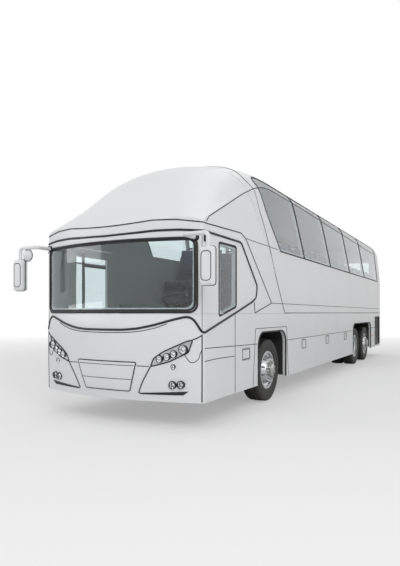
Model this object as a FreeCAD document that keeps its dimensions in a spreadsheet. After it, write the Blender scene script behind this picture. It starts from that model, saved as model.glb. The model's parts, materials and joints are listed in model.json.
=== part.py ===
import FreeCAD, Part
import math
import os
import re
import Sketcher

from FreeCAD import Rotation, Vector

doc = FreeCAD.newDocument("coach_bus")

# Driving dimensions in millimetres, or degrees where the note says so
sheet = doc.addObject("Spreadsheet::Sheet", "Sizes")
SIZES = (
    ("coach_length", 13200, "nose to tail"),
    ("coach_width", 2550, "over the side walls"),
    ("coach_height", 3700, "floor to the crown of the roof"),
    ("mirror_lead", 50, "mirror glass housings ahead of the nose"),
    ("nose_bulge", 320, "nose ahead of the front corners"),
    ("tail_bulge", 80, "tail behind the rear corners"),
    ("front_corner_radius", 72, "rounding of the front corners"),
    ("rear_corner_radius", 160, "rounding of the rear corners"),
    ("wall", 55, "depth of the body walls"),
    ("panel_gap", 6, "open line between body panels"),
    ("door_gap", 12, "open line round a swinging door"),
    ("fit_gap", 0.3, "clearance of parts that seat on each other"),
    ("overrun", 40, "how far a cut runs past a face"),
    ("sill_height", 330, "lower edge of the skirts"),
    ("belt_height", 1410, "seam between skirts and side walls"),
    ("tumble_height", 2450, "where the sides start to lean in"),
    ("tumble_inset", 110, "lean of the sides at the cantrail"),
    ("cantrail_height", 3440, "edge between side and roof shoulder"),
    ("forehead_height", 2540, "top of the windscreen zone"),
    ("forehead_setback", 45, "start of the forehead behind the nose"),
    ("forehead_angle", 38.7, "degrees, rise of the forehead"),
    ("forehead_blend", 1350, "radius from forehead to roof"),
    ("cantrail_angle", 24.5, "degrees, rise of the front cantrail"),
    ("cantrail_blend", 3000, "radius from raked to level cantrail"),
    ("shoulder_run", 2600, "length over which the roof shoulder forms"),
    ("tail_fall_run", 600, "length of the rounded rear end of the roof"),
    ("tail_fall", 130, "drop of the roof at its rear end"),
    ("rear_rake", 100, "lean of the tail above the rear window sill"),
    ("fascia_proud", 60, "fascia ahead of the windscreen plane"),
    ("fascia_height", 1230, "height where the fascia is proudest"),
    ("fascia_top", 1600, "height where the fascia fades out"),
    ("fascia_tuck", 90, "fascia drawn back at the sill"),
    ("fascia_return", 900, "fascia length round the side"),
    ("roof_seam", 985, "seam between side wall and roof, off centre"),
    ("tail_return", 170, "tail panel length round the side"),
    ("glass", 8, "glass thickness"),
    ("glass_lap", 42, "glass bonded over the body frame"),
    ("glass_gap", 8, "open line between panes"),
    ("band_sill_height", 2440, "lower edge of the side glass"),
    ("band_top_height", 3620, "upper edge of the side glass"),
    ("band_tail", 480, "side glass ends ahead of the tail"),
    ("window_pitch", 1960, "pitch of the side windows"),
    ("first_window_end", 4080, "first window post behind the front corners"),
    ("window_rake", 520, "forward lean of a window post over its height"),
    ("screen_half_width", 1190, "windscreen, half width"),
    ("screen_sill_height", 1440, "windscreen lower edge"),
    ("screen_top_height", 2395, "windscreen upper edge"),
    ("screen_corner", 95, "windscreen corner radius"),
    ("cab_window_front", 410, "driver window, front edge behind the corner"),
    ("cab_window_rear", 940, "driver window, rear edge"),
    ("cab_window_sill", 1365, "driver window, lower front corner"),
    ("cab_window_rise", 125, "driver window, rise of its lower edge"),
    ("cab_window_top", 2325, "driver window, upper edge"),
    ("cab_window_corner", 60, "driver window corner radius"),
    ("rear_window_sill", 2430, "rear window lower edge"),
    ("rear_window_top", 3180, "rear window upper edge"),
    ("rear_window_half", 940, "rear window half width"),
    ("front_axle_setback", 2360, "front axle behind the front corners"),
    ("wheelbase", 6680, "front axle to drive axle"),
    ("bogie_spacing", 1380, "drive axle to tag axle"),
    ("tyre_diameter", 1000, "tyre outer diameter"),
    ("tyre_width", 290, "tyre section width"),
    ("tyre_shoulder_drop", 62, "tyre shoulder below the tread"),
    ("tread_inset", 24, "tread inside the sidewalls"),
    ("rim_diameter", 572, "rim seat diameter"),
    ("rim_sheet", 14, "rim wall"),
    ("rim_flange", 18, "rim flange height over the seat"),
    ("rim_bead", 24, "rim flange width"),
    ("disc_sheet", 16, "wheel disc thickness"),
    ("disc_face", 172, "flat of the wheel disc, radius"),
    ("rim_half_width", 124, "half width of a rim over its flanges"),
    ("rim_well", 60, "half width of the rim well"),
    ("rim_drop", 34, "depth of the rim well"),
    ("rim_slope", 22, "width of the slopes of the rim well"),
    ("disc_offset", 150, "inner face of the wheel disc off the tyre centre"),
    ("disc_root", 20, "where the wheel disc meets the rim, off the tyre centre"),
    ("wheel_offset", 1060, "centre of an outer wheel off the centre plane"),
    ("hub_radius", 100, "wheel hub"),
    ("hub_flange", 160, "hub flange behind the wheel disc, radius"),
    ("hub_flange_width", 22, "hub flange thickness"),
    ("hub_cap", 45, "hub ahead of the wheel disc"),
    ("hub_depth", 140, "hub behind the wheel disc"),
    ("hub_end", 25, "closed end of a hub"),
    ("bearing_gap", 0.5, "running clearance of pins and spindles"),
    ("vent_hole", 17, "vent holes in a wheel disc, radius"),
    ("vent_circle", 208, "circle of the vent holes, radius"),
    ("front_arch_radius", 632, "front wheel arch"),
    ("front_arch_top", 1125, "top of the front wheel arch"),
    ("rear_arch_radius", 628, "rear wheel arch ahead of the drive axle"),
    ("rear_arch_top", 1130, "top of the rear wheel arch"),
    ("rear_arch_tail", 545, "rear wheel arch behind the tag axle"),
    ("arch_corner", 230, "corner radius of the wheel arches"),
    ("liner", 12, "wheelhouse sheet"),
    ("liner_inner", 575, "inner wall of a front wheelhouse off centre"),
    ("rear_liner_inner", 510, "inner wall of a rear wheelhouse off centre"),
    ("kingpin_offset", 925, "kingpin off the centre plane"),
    ("kingpin_radius", 25, "kingpin"),
    ("kingpin_boss", 52, "boss at the end of the axle beam"),
    ("kingpin_boss_height", 170, "height of that boss"),
    ("yoke_plate", 40, "thickness of the knuckle plates"),
    ("yoke_reach", 62, "knuckle web beyond the kingpin"),
    ("yoke_half", 50, "half width of the knuckle"),
    ("yoke_web", 36, "thickness of the knuckle web"),
    ("spindle_radius", 48, "wheel spindle"),
    ("floor_height", 1560, "top of the passenger floor"),
    ("floor_sheet", 50, "floor thickness"),
    ("cab_floor_height", 950, "top of the driver platform"),
    ("cab_floor_length", 1600, "driver platform behind the front corners"),
    ("step_height", 400, "lowest door step"),
    ("step_sheet", 30, "thickness of a step"),
    ("well_depth", 770, "middle entry well, in from the wall"),
    ("front_well_depth", 700, "front entry well, in from the wall"),
    ("well_margin", 14, "entry wells beyond the doorway"),
    ("entry_tread", 300, "depth of the front entry step"),
    ("mid_tread", 150, "depth of a middle entry step"),
    ("aisle_half", 300, "half width of the aisle steps"),
    ("aisle_tread", 250, "depth of an aisle step"),
    ("bay_floor_height", 370, "top of the luggage floor"),
    ("bay_floor_sheet", 35, "thickness of the luggage floor"),
    ("bay_start", 3165, "first luggage flap behind the front corners"),
    ("flap_pitch", 1730, "pitch of the luggage flaps"),
    ("door_sill", 350, "lower edge of the doors"),
    ("door_top", 2420, "upper edge of the doors"),
    ("door_front", 400, "front door, front edge behind the corner"),
    ("door_length", 1000, "width of a door leaf"),
    ("mid_door_front", 6790, "middle door, front edge behind the corner"),
    ("door_glass_sill", 980, "door window lower edge"),
    ("door_frame", 85, "door frame beside its glass"),
    ("door_arm", 500, "reach of the door arms"),
    ("door_post_inset", 205, "door post from the edge of the doorway"),
    ("door_post_depth", 75, "door post centre behind the inside of the wall"),
    ("door_post_radius", 22, "door post"),
    ("door_arm_height", 45, "section of a door arm"),
    ("door_arm_low", 760, "height of the lower door arm"),
    ("door_arm_high", 2150, "height of the upper door arm"),
    ("rail_offset", 430, "chassis rail off the centre plane"),
    ("rail_width", 80, "chassis rail"),
    ("rail_height", 170, "chassis rail"),
    ("rail_bottom", 620, "underside of the chassis rails"),
    ("cross_width", 120, "crossmember"),
    ("beam_height", 110, "front axle beam"),
    ("beam_width", 110, "front axle beam"),
    ("beam_drop", 130, "drop of the front axle beam"),
    ("beam_drop_half", 640, "half length of the dropped part"),
    ("axle_tube", 75, "radius of a rear axle tube"),
    ("diff_radius", 210, "radius of the drive housing"),
    ("diff_length", 260, "length of the drive housing"),
    ("shaft_radius", 32, "propeller shaft"),
    ("shaft_height", 620, "height of the propeller shaft"),
    ("brake_radius", 190, "brake disc radius"),
    ("brake_width", 40, "brake disc width"),
    ("spring_radius", 108, "air bellows"),
    ("spring_seat", 30, "air bellows seat plate"),
    ("spring_arm", 360, "reach of a spring arm either side of its axle"),
    ("spring_arm_height", 60, "spring arm"),
    ("engine_width", 700, "engine block"),
    ("engine_length", 1250, "engine block"),
    ("engine_height", 820, "engine block"),
    ("engine_bottom", 470, "underside of the engine block"),
    ("engine_tail", 500, "engine block ahead of the tail"),
    ("lid_half_width", 930, "engine lid half width"),
    ("lid_bottom", 620, "engine lid lower edge"),
    ("lid_top", 1780, "upper edge of the engine lid opening"),
    ("lid_top_gap", 18, "open line above the engine lid"),
    ("hinge_place", 800, "engine lid hinges off the centre plane"),
    ("hinge_radius", 12, "knuckle of an engine lid hinge"),
    ("hinge_width", 20, "width of a hinge knuckle"),
    ("hinge_leaf", 30, "height of a hinge leaf on its panel"),
    ("seat_pitch", 830, "pitch of the seat rows"),
    ("seat_width", 470, "width of one seat"),
    ("seat_depth", 450, "depth of a cushion"),
    ("seat_cushion", 130, "thickness of a cushion"),
    ("seat_top", 470, "cushion top over the floor"),
    ("seat_back", 720, "height of a backrest"),
    ("seat_back_thick", 110, "thickness of a backrest"),
    ("seat_gap", 40, "seat beside the wall"),
    ("seat_leg", 60, "seat leg"),
    ("seat_start", 2900, "first seat row behind the front corners"),
    ("seat_recline", 12, "degrees, lean of a backrest"),
    ("wheel_rim_radius", 230, "steering wheel"),
    ("wheel_rim_section", 17, "steering wheel grip radius"),
    ("wheel_tilt", 32, "degrees, steering wheel from level"),
    ("wheel_place", 600, "steering wheel off the centre plane"),
    ("wheel_setback", 560, "steering wheel behind the front corners"),
    ("wheel_height", 1545, "steering wheel centre height"),
    ("driver_reach", 330, "driver seat behind the steering wheel"),
    ("column_radius", 35, "steering column"),
    ("column_length", 330, "steering column"),
    ("wheel_hub", 62, "steering wheel hub, radius"),
    ("wheel_hub_height", 46, "steering wheel hub"),
    ("spoke_radius", 11, "steering wheel spoke"),
    ("dash_foot", 150, "dashboard foot behind the front corners"),
    ("dash_knee", 1210, "underside of the dashboard overhang"),
    ("dash_lip", 60, "bevel of the dashboard top"),
    ("dash_height", 1395, "top of the dashboard"),
    ("dash_depth", 470, "dashboard behind the front corners"),
    ("mirror_offset", 1500, "mirror housing off the centre plane"),
    ("mirror_width", 190, "mirror housing"),
    ("mirror_depth", 120, "mirror housing"),
    ("mirror_bottom", 1730, "mirror housing"),
    ("mirror_top", 2170, "mirror housing"),
    ("mirror_arm", 26, "radius of a mirror arm"),
    ("mirror_root_height", 2330, "root of a mirror arm"),
    ("mirror_corner", 38, "rounding of a mirror housing"),
    ("mirror_reach", 1180, "first bend of a mirror arm off the centre plane"),
    ("lamp_proud", 6, "lamps ahead of the fascia"),
    ("lamp_gap", 3, "open line round a lamp"),
    ("lamp_corner", 14, "corner radius of a headlamp"),
    ("lamp_small", 42, "small round lamp, radius"),
    ("lamp_large", 53, "large round lamp, radius"),
    ("lamp_bezel", 12, "round lamps ahead of the headlamp face"),
    ("fog_radius", 48, "fog lamp, radius"),
    ("tail_lamp_inner", 1000, "tail lamp, inner edge off the centre plane"),
    ("tail_lamp_outer", 1095, "tail lamp, outer edge off the centre plane"),
    ("tail_lamp_low", 880, "tail lamp, lower edge"),
    ("tail_lamp_high", 1500, "tail lamp, upper edge"),
    ("filler_front", 1135, "filler flap, front edge behind the corner"),
    ("filler_width", 285, "filler flap"),
    ("filler_low", 753, "filler flap, lower edge"),
    ("filler_high", 917, "filler flap, upper edge"),
    ("grille_length", 830, "side grille"),
    ("grille_low", 400, "side grille, lower edge"),
    ("grille_high", 1290, "side grille, upper edge"),
    ("grille_tail", 90, "side grille ahead of the tail seam"),
    ("grille_frame", 28, "frame of a side grille"),
    ("slat_pitch", 62, "pitch of the grille slats"),
    ("slat_depth", 34, "depth of a slat"),
    ("slat_sheet", 6, "thickness of a slat"),
    ("handle_width", 230, "latch recess of a luggage flap"),
    ("handle_height", 150, "latch recess of a luggage flap"),
    ("handle_low", 760, "latch recess, lower edge"),
    ("handle_depth", 14, "latch recess"),
    ("handle_bar", 16, "latch bar"),
    ("flap_hinge", 4.5, "hinge barrel along the edge of a flap, radius"),
    ("jack_pad_size", 120, "jacking pads under the rails"),
    ("jack_pad_height", 40, "jacking pads under the rails"),
)
for row, (alias, value, note) in enumerate(SIZES, 1):
    sheet.set("A%d" % row, alias)
    sheet.set("B%d" % row, str(value))
    sheet.set("C%d" % row, note)
    sheet.setAlias("B%d" % row, alias)

# Places that follow from the driving dimensions
places = doc.addObject("App::VarSet", "Places")
ALIASES = {alias for alias, value, note in SIZES}
DERIVED = set()


def linked(formula):
    """Points the names in a formula at the sheet or at the derived places."""
    def point(match):
        name = match.group()
        if name in ALIASES:
            return "Sizes." + name
        if name in DERIVED:
            return "Places." + name
        return name
    return re.sub(r"[a-z][a-z_]*[a-z]", point, formula)


def derive(name, formula):
    """Adds a place that follows from the sheet."""
    places.addProperty("App::PropertyFloat", name)
    places.setExpression(name, linked(formula))
    DERIVED.add(name)


derive("tail_y", "(coach_length + mirror_lead) / 2")
derive("nose_y", "tail_y - coach_length")
derive("corner_y", "nose_y + nose_bulge")
derive("half_width", "coach_width / 2")
derive("inner_width", "half_width - wall")
derive("axle_height", "tyre_diameter / 2")
derive("front_axle_y", "corner_y + front_axle_setback")
derive("drive_axle_y", "front_axle_y + wheelbase")
derive("tag_axle_y", "drive_axle_y + bogie_spacing")
derive("fascia_seam_y", "corner_y + fascia_return")
derive("tail_seam_y", "tail_y - tail_bulge - tail_return")
derive("bay_y", "corner_y + bay_start")
derive("bay_end_y", "bay_y + 3 * flap_pitch")
derive("floor_low", "floor_height - floor_sheet")
derive("door_y", "corner_y + door_front")
derive("mid_door_y", "corner_y + mid_door_front")
derive("rail_top", "rail_bottom + rail_height")
derive("rail_inner", "rail_offset - rail_width / 2")
derive("rail_outer", "rail_offset + rail_width / 2")
derive("twin_spacing", "2 * (disc_offset + disc_sheet)")
derive("rim_radius", "rim_diameter / 2")
derive("mirror_y", "nose_y - mirror_lead")
derive("well_inner", "inner_width - well_depth")
derive("front_well_inner", "inner_width - front_well_depth")
derive("lid_hinge_y", "tail_y - hinge_radius")
derive("lid_hinge_z", "lid_top - lid_top_gap")
derive("seat_row_y", "corner_y + seat_start")
derive("engine_front_y", "tail_y - engine_tail - engine_length")
doc.recompute()


class Dimension:
    """Gives a driving dimension or a derived place by its name."""

    def __getattr__(self, name):
        if name in DERIVED:
            return float(getattr(places, name))
        return float(sheet.get(name))


dim = Dimension()
sub_parts = []


def sub_part(obj, label):
    """Names an object as one sub-part of the coach."""
    obj.Label = label
    sub_parts.append(obj)
    return obj


def shaped(label, shape):
    """A free-form sub-part whose shape was worked out from the sheet."""
    obj = doc.addObject("Part::Feature", label)
    obj.Shape = shape
    obj.Placement = FreeCAD.Placement()
    return sub_part(obj, label)


def block(name, x, y, z):
    """A box between two named limits along each axis."""
    obj = doc.addObject("Part::Box", name)
    for length, (low, high), axis in (("Length", x, "x"), ("Width", y, "y"), ("Height", z, "z")):
        obj.setExpression(length, linked("(%s) - (%s)" % (high, low)))
        obj.setExpression("Placement.Base." + axis, linked(low))
    return obj


TURNS = {"x": Rotation(Vector(0, 1, 0), 90), "y": Rotation(Vector(1, 0, 0), -90), "z": Rotation()}


def rod(name, radius, axis, span, centre):
    """A round bar along one axis; centre gives its other two coordinates."""
    obj = doc.addObject("Part::Cylinder", name)
    low, high = span
    others = [other for other in "xyz" if other != axis]
    obj.Placement = FreeCAD.Placement(Vector(), TURNS[axis])
    obj.setExpression("Radius", linked(radius))
    obj.setExpression("Height", linked("(%s) - (%s)" % (high, low)))
    obj.setExpression("Placement.Base." + axis, linked(low))
    for other, place in zip(others, centre):
        obj.setExpression("Placement.Base." + other, linked(place))
    return obj


def union(name, parts):
    obj = doc.addObject("Part::MultiFuse", name)
    obj.Shapes = parts
    return obj


def overlap(name, parts):
    obj = doc.addObject("Part::MultiCommon", name)
    obj.Shapes = parts
    return obj


def difference(name, base, tool):
    obj = doc.addObject("Part::Cut", name)
    obj.Base = base
    obj.Tool = tool
    return obj


def sided(side, near, far):
    """Limits along X on the left (1) or right (-1) side of the coach."""
    if side > 0:
        return near, far
    return "-(%s)" % far, "-(%s)" % near


# Body envelope: a straight tube of section closed by formed front, tail and roof faces
EDGE_SHARES = (0, 0.26, 0.51, 0.70, 0.80, 0.865, 0.915, 0.96, 1.02)
GRID_SHARES = tuple(-share for share in EDGE_SHARES[:0:-1]) + EDGE_SHARES
HEIGHT_STEPS = 24
ROOF_STEPS = 40


def smooth(share):
    share = min(1, max(0, share))
    return share * share * (3 - 2 * share)


def side_offset(height):
    """Half width of the body at a height."""
    lean = max(0, height - dim.tumble_height) / (dim.cantrail_height - dim.tumble_height)
    return dim.half_width - lean * dim.tumble_inset


def blended_rise(run, start_height, angle, radius, top_height):
    """Height of a raked line that rounds into a level one."""
    slope = math.tan(math.radians(angle))
    reach = radius * math.tan(math.radians(angle / 2))
    bend = (top_height - start_height) / slope
    if run >= bend + reach:
        return top_height
    if run <= bend - reach * math.cos(math.radians(angle)):
        return start_height + slope * run
    left = bend + reach - run
    return top_height - radius + math.sqrt(radius * radius - left * left)


def roof_height(x, y):
    """Height of the forehead and roof at a place in plan."""
    crown = blended_rise(y - dim.nose_y - dim.forehead_setback, dim.forehead_height,
                         dim.forehead_angle, dim.forehead_blend, dim.coach_height)
    edge = blended_rise(y - dim.corner_y, dim.forehead_height,
                        dim.cantrail_angle, dim.cantrail_blend, dim.cantrail_height)
    share = abs(x) / side_offset(edge)
    dome = 0.75 - 0.635 * smooth((y - dim.corner_y) / dim.shoulder_run)
    fall = max(0, y - dim.tail_y + dim.tail_fall_run) / dim.tail_fall_run
    return crown - (crown - edge) * (dome * share ** 2 + (1 - dome) * share ** 10) - dim.tail_fall * fall ** 2


def front_place(x, height):
    """Place along Y of the windscreen and fascia."""
    share = min(1, abs(x) / dim.half_width)
    if height > dim.fascia_height:
        proud = smooth((dim.fascia_top - height) / (dim.fascia_top - dim.fascia_height)) * dim.fascia_proud
    else:
        low = (dim.fascia_height - height) / (dim.fascia_height - dim.sill_height)
        proud = dim.fascia_proud - dim.fascia_tuck * low ** 2
    bulge = (dim.nose_bulge - dim.fascia_proud) * (1 - share ** 2)
    return dim.corner_y - bulge - proud * (1 - share ** 4)


def tail_place(x, height):
    """Place along Y of the tail."""
    lean = smooth((height - dim.lid_top) / (dim.coach_height - dim.lid_top)) * dim.rear_rake
    return dim.tail_y - dim.tail_bulge * (x / dim.half_width) ** 2 - lean


def interpolated(points):
    surface = Part.BSplineSurface()
    surface.interpolate(points)
    return surface.toShape()


def prism(points, sweep):
    """A straight-sided solid over a closed outline."""
    return Part.Face(Part.makePolygon(points + points[:1])).extrude(sweep)


def envelope(inset):
    """Solid inside the body surface, moved inwards by an inset."""
    reach = dim.coach_length
    beyond = dim.coach_height * 1.1
    below = Vector(0, 0, -dim.overrun)
    xs = [share * (dim.half_width + dim.overrun) for share in GRID_SHARES]
    zs = [(beyond + 2 * dim.overrun) * step / HEIGHT_STEPS - 2 * dim.overrun for step in range(HEIGHT_STEPS + 1)]
    front = interpolated([[Vector(x, front_place(x, z) + inset, z) for z in zs] for x in xs])
    tail = interpolated([[Vector(x, tail_place(x, z) - inset, z) for z in zs] for x in xs])
    half = dim.half_width - inset
    slab = Part.makeBox(2 * half, reach * 2, beyond, Vector(-half, -reach, 0) + below)
    slab = slab.common(front.extrude(Vector(0, 2 * reach, 0)))
    slab = slab.common(tail.extrude(Vector(0, -2 * reach, 0)))
    for radius, towards in ((dim.front_corner_radius, -1), (dim.rear_corner_radius, 1)):
        corners = [edge for edge in slab.Edges if edge.BoundBox.ZLength > dim.tumble_height
                   and edge.CenterOfMass.y * towards > 0]
        slab = slab.makeFillet(radius - min(inset, dim.wall), corners)
    lean = dim.tumble_inset * (beyond - dim.tumble_height) / (dim.cantrail_height - dim.tumble_height)
    outline = [Vector(-half, -reach, 0) + below, Vector(-half, -reach, dim.tumble_height),
               Vector(lean - half, -reach, beyond), Vector(half - lean, -reach, beyond),
               Vector(half, -reach, dim.tumble_height), Vector(half, -reach, 0) + below]
    slab = slab.common(prism(outline, Vector(0, 2 * reach, 0)))
    start = dim.nose_y - 2 * dim.overrun
    step_length = (dim.tail_y + 2 * dim.overrun - start) / ROOF_STEPS
    ys = [start + step_length * step for step in range(ROOF_STEPS + 1)]
    roof = interpolated([[Vector(x, y, roof_height(x, y) - inset) for y in ys] for x in xs])
    return slab.common(roof.extrude(Vector(0, 0, -beyond)))


outer = envelope(0)
inner = envelope(dim.wall)
shell = outer.cut(inner)


def side_prism(points, low_x, high_x):
    """Solid over a side view outline, between two places across the coach."""
    return prism([Vector(low_x, y, z) for y, z in points], Vector(high_x - low_x, 0, 0))


def cuboid(x, y, z):
    """Solid between two limits along each axis."""
    return Part.makeBox(x[1] - x[0], y[1] - y[0], z[1] - z[0], Vector(x[0], y[0], z[0]))


def rounded_outline(points, radius):
    """Closed wire through corner points, each rounded by one radius."""
    edges = []
    ends = []
    count = len(points)
    for index, corner in enumerate(points):
        back = (points[index - 1] - corner).normalize()
        ahead = (points[(index + 1) % count] - corner).normalize()
        half_angle = back.getAngle(ahead) / 2
        cut = radius / math.tan(half_angle)
        centre = corner + (back + ahead).normalize() * (radius / math.sin(half_angle))
        middle = centre + (corner - centre).normalize() * radius
        ends.append((corner + back * cut, middle, corner + ahead * cut))
    for index, (first, middle, last) in enumerate(ends):
        edges.append(Part.Arc(first, middle, last).toShape())
        following = ends[(index + 1) % count][0]
        if (following - last).Length > dim.fit_gap:
            edges.append(Part.makeLine(last, following))
    return Part.Wire(edges)


def rounded_prism(points, radius, sweep):
    return Part.Face(rounded_outline(points, radius)).extrude(sweep)


# Seam between the formed front end and the side walls, as shares of axle setback and height
SEAM_SHARES = ((0.44, 0.99), (0.65, 0.870), (0.855, 0.722), (1.04, 0.563), (1.24, 0.381))
FULL = dim.coach_width
HIGH = dim.coach_height * 1.2


def seam_points(shift):
    return [(dim.corner_y + y * dim.front_axle_setback + shift, z * dim.coach_height) for y, z in SEAM_SHARES]


def front_zone(shift):
    """Side view zone of the formed front end above the belt."""
    line = seam_points(shift)
    belt = dim.belt_height + dim.panel_gap / 2
    points = [(dim.nose_y - FULL, belt)] + [(line[-1][0], belt)] + line[-2::-1]
    return points + [(line[0][0], HIGH), (dim.nose_y - FULL, HIGH)]


def rear_zone(shift):
    """Side view zone behind the formed front end, up to the tail seam."""
    line = seam_points(shift)
    belt = dim.belt_height + dim.panel_gap / 2
    end = dim.tail_seam_y - dim.panel_gap / 2
    points = [(end, belt), (end, HIGH), (line[0][0], HIGH)] + line[:-1]
    return points + [(line[-1][0], belt)]


# Side glass band, as shares of the axle setback and of the coach height
BAND_NOSE_SHARES = ((0.98, 0.979), (0.81, 0.963), (0.69, 0.898), (0.76, 0.855), (0.89, 0.778), (1.04, 0.706))


def band_outline(inset):
    """Closed outline of the side glass, moved inwards by an inset."""
    nose = []
    for y, z in BAND_NOSE_SHARES:
        nose.append(Vector(0, dim.corner_y + y * dim.front_axle_setback, z * dim.coach_height))
    sill = dim.band_sill_height + inset
    top = dim.band_top_height - inset
    end = dim.tail_seam_y - dim.band_tail - inset
    first = Vector(0, nose[0].y + dim.wall, top)
    last = Vector(0, nose[-1].y + 3 * dim.wall, sill)
    curve = Part.BSplineCurve()
    curve.interpolate([first] + [point + Vector(0, inset, 0) for point in nose[1:]] + [last])
    edges = [curve.toShape(), Part.makeLine(last, Vector(0, end, sill)),
             Part.makeLine(Vector(0, end, sill), Vector(0, end, top)), Part.makeLine(Vector(0, end, top), first)]
    return Part.Wire(edges)


def band_prism(inset):
    face = Part.Face(band_outline(inset))
    face.translate(Vector(-FULL, 0, 0))
    return face.extrude(Vector(2 * FULL, 0, 0))


def post_place(index):
    """Foot of a window post."""
    return dim.corner_y + dim.first_window_end + index * dim.window_pitch


WINDOWS = 5


def window_slab(index, inset):
    """Raked slab that holds one side window."""
    rise = (dim.band_top_height - dim.band_sill_height)
    low = dim.band_sill_height - dim.overrun
    high = dim.band_top_height + dim.overrun
    lean_low = dim.overrun / rise * dim.window_rake
    lean_high = dim.window_rake + lean_low
    front = post_place(index - 1) + inset if index else dim.corner_y
    rear = post_place(index) - inset if index < WINDOWS - 1 else dim.tail_y
    front_foot = front + lean_low if index else front
    front_head = front - lean_high if index else front
    rear_foot = rear + lean_low if index < WINDOWS - 1 else rear
    rear_head = rear - lean_high if index < WINDOWS - 1 else rear
    return side_prism([(front_foot, low), (rear_foot, low), (rear_head, high), (front_head, high)], -FULL, FULL)


def screen_prism(inset):
    """Front view solid of the windscreen."""
    half = dim.screen_half_width - inset
    low = dim.screen_sill_height + inset
    high = dim.screen_top_height - inset
    y = dim.nose_y - dim.overrun
    points = [Vector(-half, y, low), Vector(half, y, low), Vector(half, y, high), Vector(-half, y, high)]
    return rounded_prism(points, dim.screen_corner, Vector(0, dim.nose_bulge + 2 * dim.overrun, 0))


def cab_window_prism(inset, low_x, high_x):
    """Side view solid of the driver window."""
    front = dim.corner_y + dim.cab_window_front + inset
    rear = dim.corner_y + dim.cab_window_rear - inset
    low = dim.cab_window_sill + inset
    high = dim.cab_window_top - inset
    points = [Vector(low_x, front, low), Vector(low_x, rear, low + dim.cab_window_rise),
              Vector(low_x, rear, high), Vector(low_x, front, high)]
    return rounded_prism(points, dim.cab_window_corner, Vector(high_x - low_x, 0, 0))


def rear_window_prism(inset):
    half = dim.rear_window_half - inset
    low = dim.rear_window_sill + inset
    high = dim.rear_window_top - inset
    y = dim.tail_y - dim.wall - 6 * dim.overrun
    points = [Vector(-half, y, low), Vector(half, y, low), Vector(half, y, high), Vector(-half, y, high)]
    return rounded_prism(points, dim.screen_corner, Vector(0, dim.wall + 8 * dim.overrun, 0))


pane_skin = outer.cut(envelope(dim.glass))
recess_skin = outer.cut(envelope(dim.glass + dim.fit_gap))
side_band = band_prism(0)
side_openings = band_prism(dim.glass_lap)
roof_half = dim.roof_seam - dim.panel_gap / 2
side_zone_x = dim.roof_seam + dim.panel_gap / 2


def door_prism(front, inset, low_x, high_x):
    """Side view solid of a doorway."""
    return cuboid((low_x, high_x), (front + inset, front + dim.door_length - inset),
                  (dim.door_sill + inset, dim.door_top - inset))


right_side = (-FULL, -dim.half_width + 4 * dim.wall)
left_side = (dim.half_width - 4 * dim.wall, FULL)
doorways = [door_prism(dim.door_y, -dim.door_gap, *right_side),
            door_prism(dim.mid_door_y, -dim.door_gap, *right_side)]

# Formed front end with the windscreen frame and the front quarter panels
front_end = shell.common(side_prism(front_zone(-dim.panel_gap / 2), -FULL, FULL))
front_end = front_end.cut(recess_skin.common(screen_prism(-dim.fit_gap)))
front_end = front_end.cut(screen_prism(dim.glass_lap))
front_end = front_end.cut(recess_skin.common(cab_window_prism(-dim.fit_gap, *left_side)))
front_end = front_end.cut(cab_window_prism(dim.glass_lap, *left_side))
front_end = front_end.cut(doorways[0])
shaped("front_dome", front_end)

# Side walls with the openings behind the bonded side glass
rear_region = side_prism(rear_zone(dim.panel_gap / 2), -FULL, FULL)
upper_shell = shell.common(rear_region).cut(recess_skin.common(band_prism(-dim.fit_gap)))
side_wall = upper_shell
for index in range(WINDOWS):
    side_wall = side_wall.cut(side_openings.common(window_slab(index, dim.glass_lap)))
for label, low, high in (("side_wall_left", side_zone_x, FULL), ("side_wall_right", -FULL, -side_zone_x)):
    wall_piece = side_wall.common(cuboid((low, high), (-FULL * 6, FULL * 6), (0, HIGH)))
    if low < 0:
        wall_piece = wall_piece.cut(doorways[1])
    shaped(label, wall_piece)

# Roof between the side walls
roof_region = cuboid((-roof_half, roof_half), (-FULL * 6, FULL * 6), (dim.tumble_height, HIGH))
shaped("roof", upper_shell.common(roof_region))

# Tail with the engine lid opening and the rear window
tail_region = cuboid((-FULL, FULL), (dim.tail_seam_y + dim.panel_gap / 2, dim.tail_y + FULL),
                     (dim.sill_height, HIGH))
lid_space = cuboid((-dim.lid_half_width, dim.lid_half_width), (dim.tail_y - 4 * dim.wall, dim.tail_y + FULL),
                   (dim.lid_bottom, dim.lid_top))
tail = shell.common(tail_region).cut(lid_space)
tail = tail.cut(recess_skin.common(rear_window_prism(-dim.fit_gap))).cut(rear_window_prism(dim.glass_lap))
tail_lamps = []
for side in (1, -1):
    lamp_x = sorted((side * dim.tail_lamp_inner, side * dim.tail_lamp_outer))
    lamp_y = (dim.tail_y - 4 * dim.wall, dim.tail_y + FULL)
    gap = dim.fit_gap
    tail = tail.cut(cuboid((lamp_x[0] - gap, lamp_x[1] + gap), lamp_y,
                           (dim.tail_lamp_low - gap, dim.tail_lamp_high + gap)))
    lamp = shell.common(cuboid(lamp_x, lamp_y, (dim.tail_lamp_low, dim.tail_lamp_high)))
    lamp.translate(Vector(0, dim.lamp_proud, 0))
    tail_lamps.append(lamp)
shaped("tail_lamps", Part.makeCompound(tail_lamps))


def hinge_piece(centre, low, high, leaf_low, leaf_high):
    """One knuckle of a lid hinge with its leaf, between two places across the coach."""
    skin = tail_place(centre, dim.lid_hinge_z) - dim.lamp_proud
    leaf = cuboid((centre + low, centre + high), (skin, dim.lid_hinge_y), (leaf_low, leaf_high))
    barrel = Part.makeCylinder(dim.hinge_radius, high - low,
                               Vector(centre + low, dim.lid_hinge_y, dim.lid_hinge_z), Vector(1, 0, 0))
    return leaf.fuse(barrel)


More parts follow.
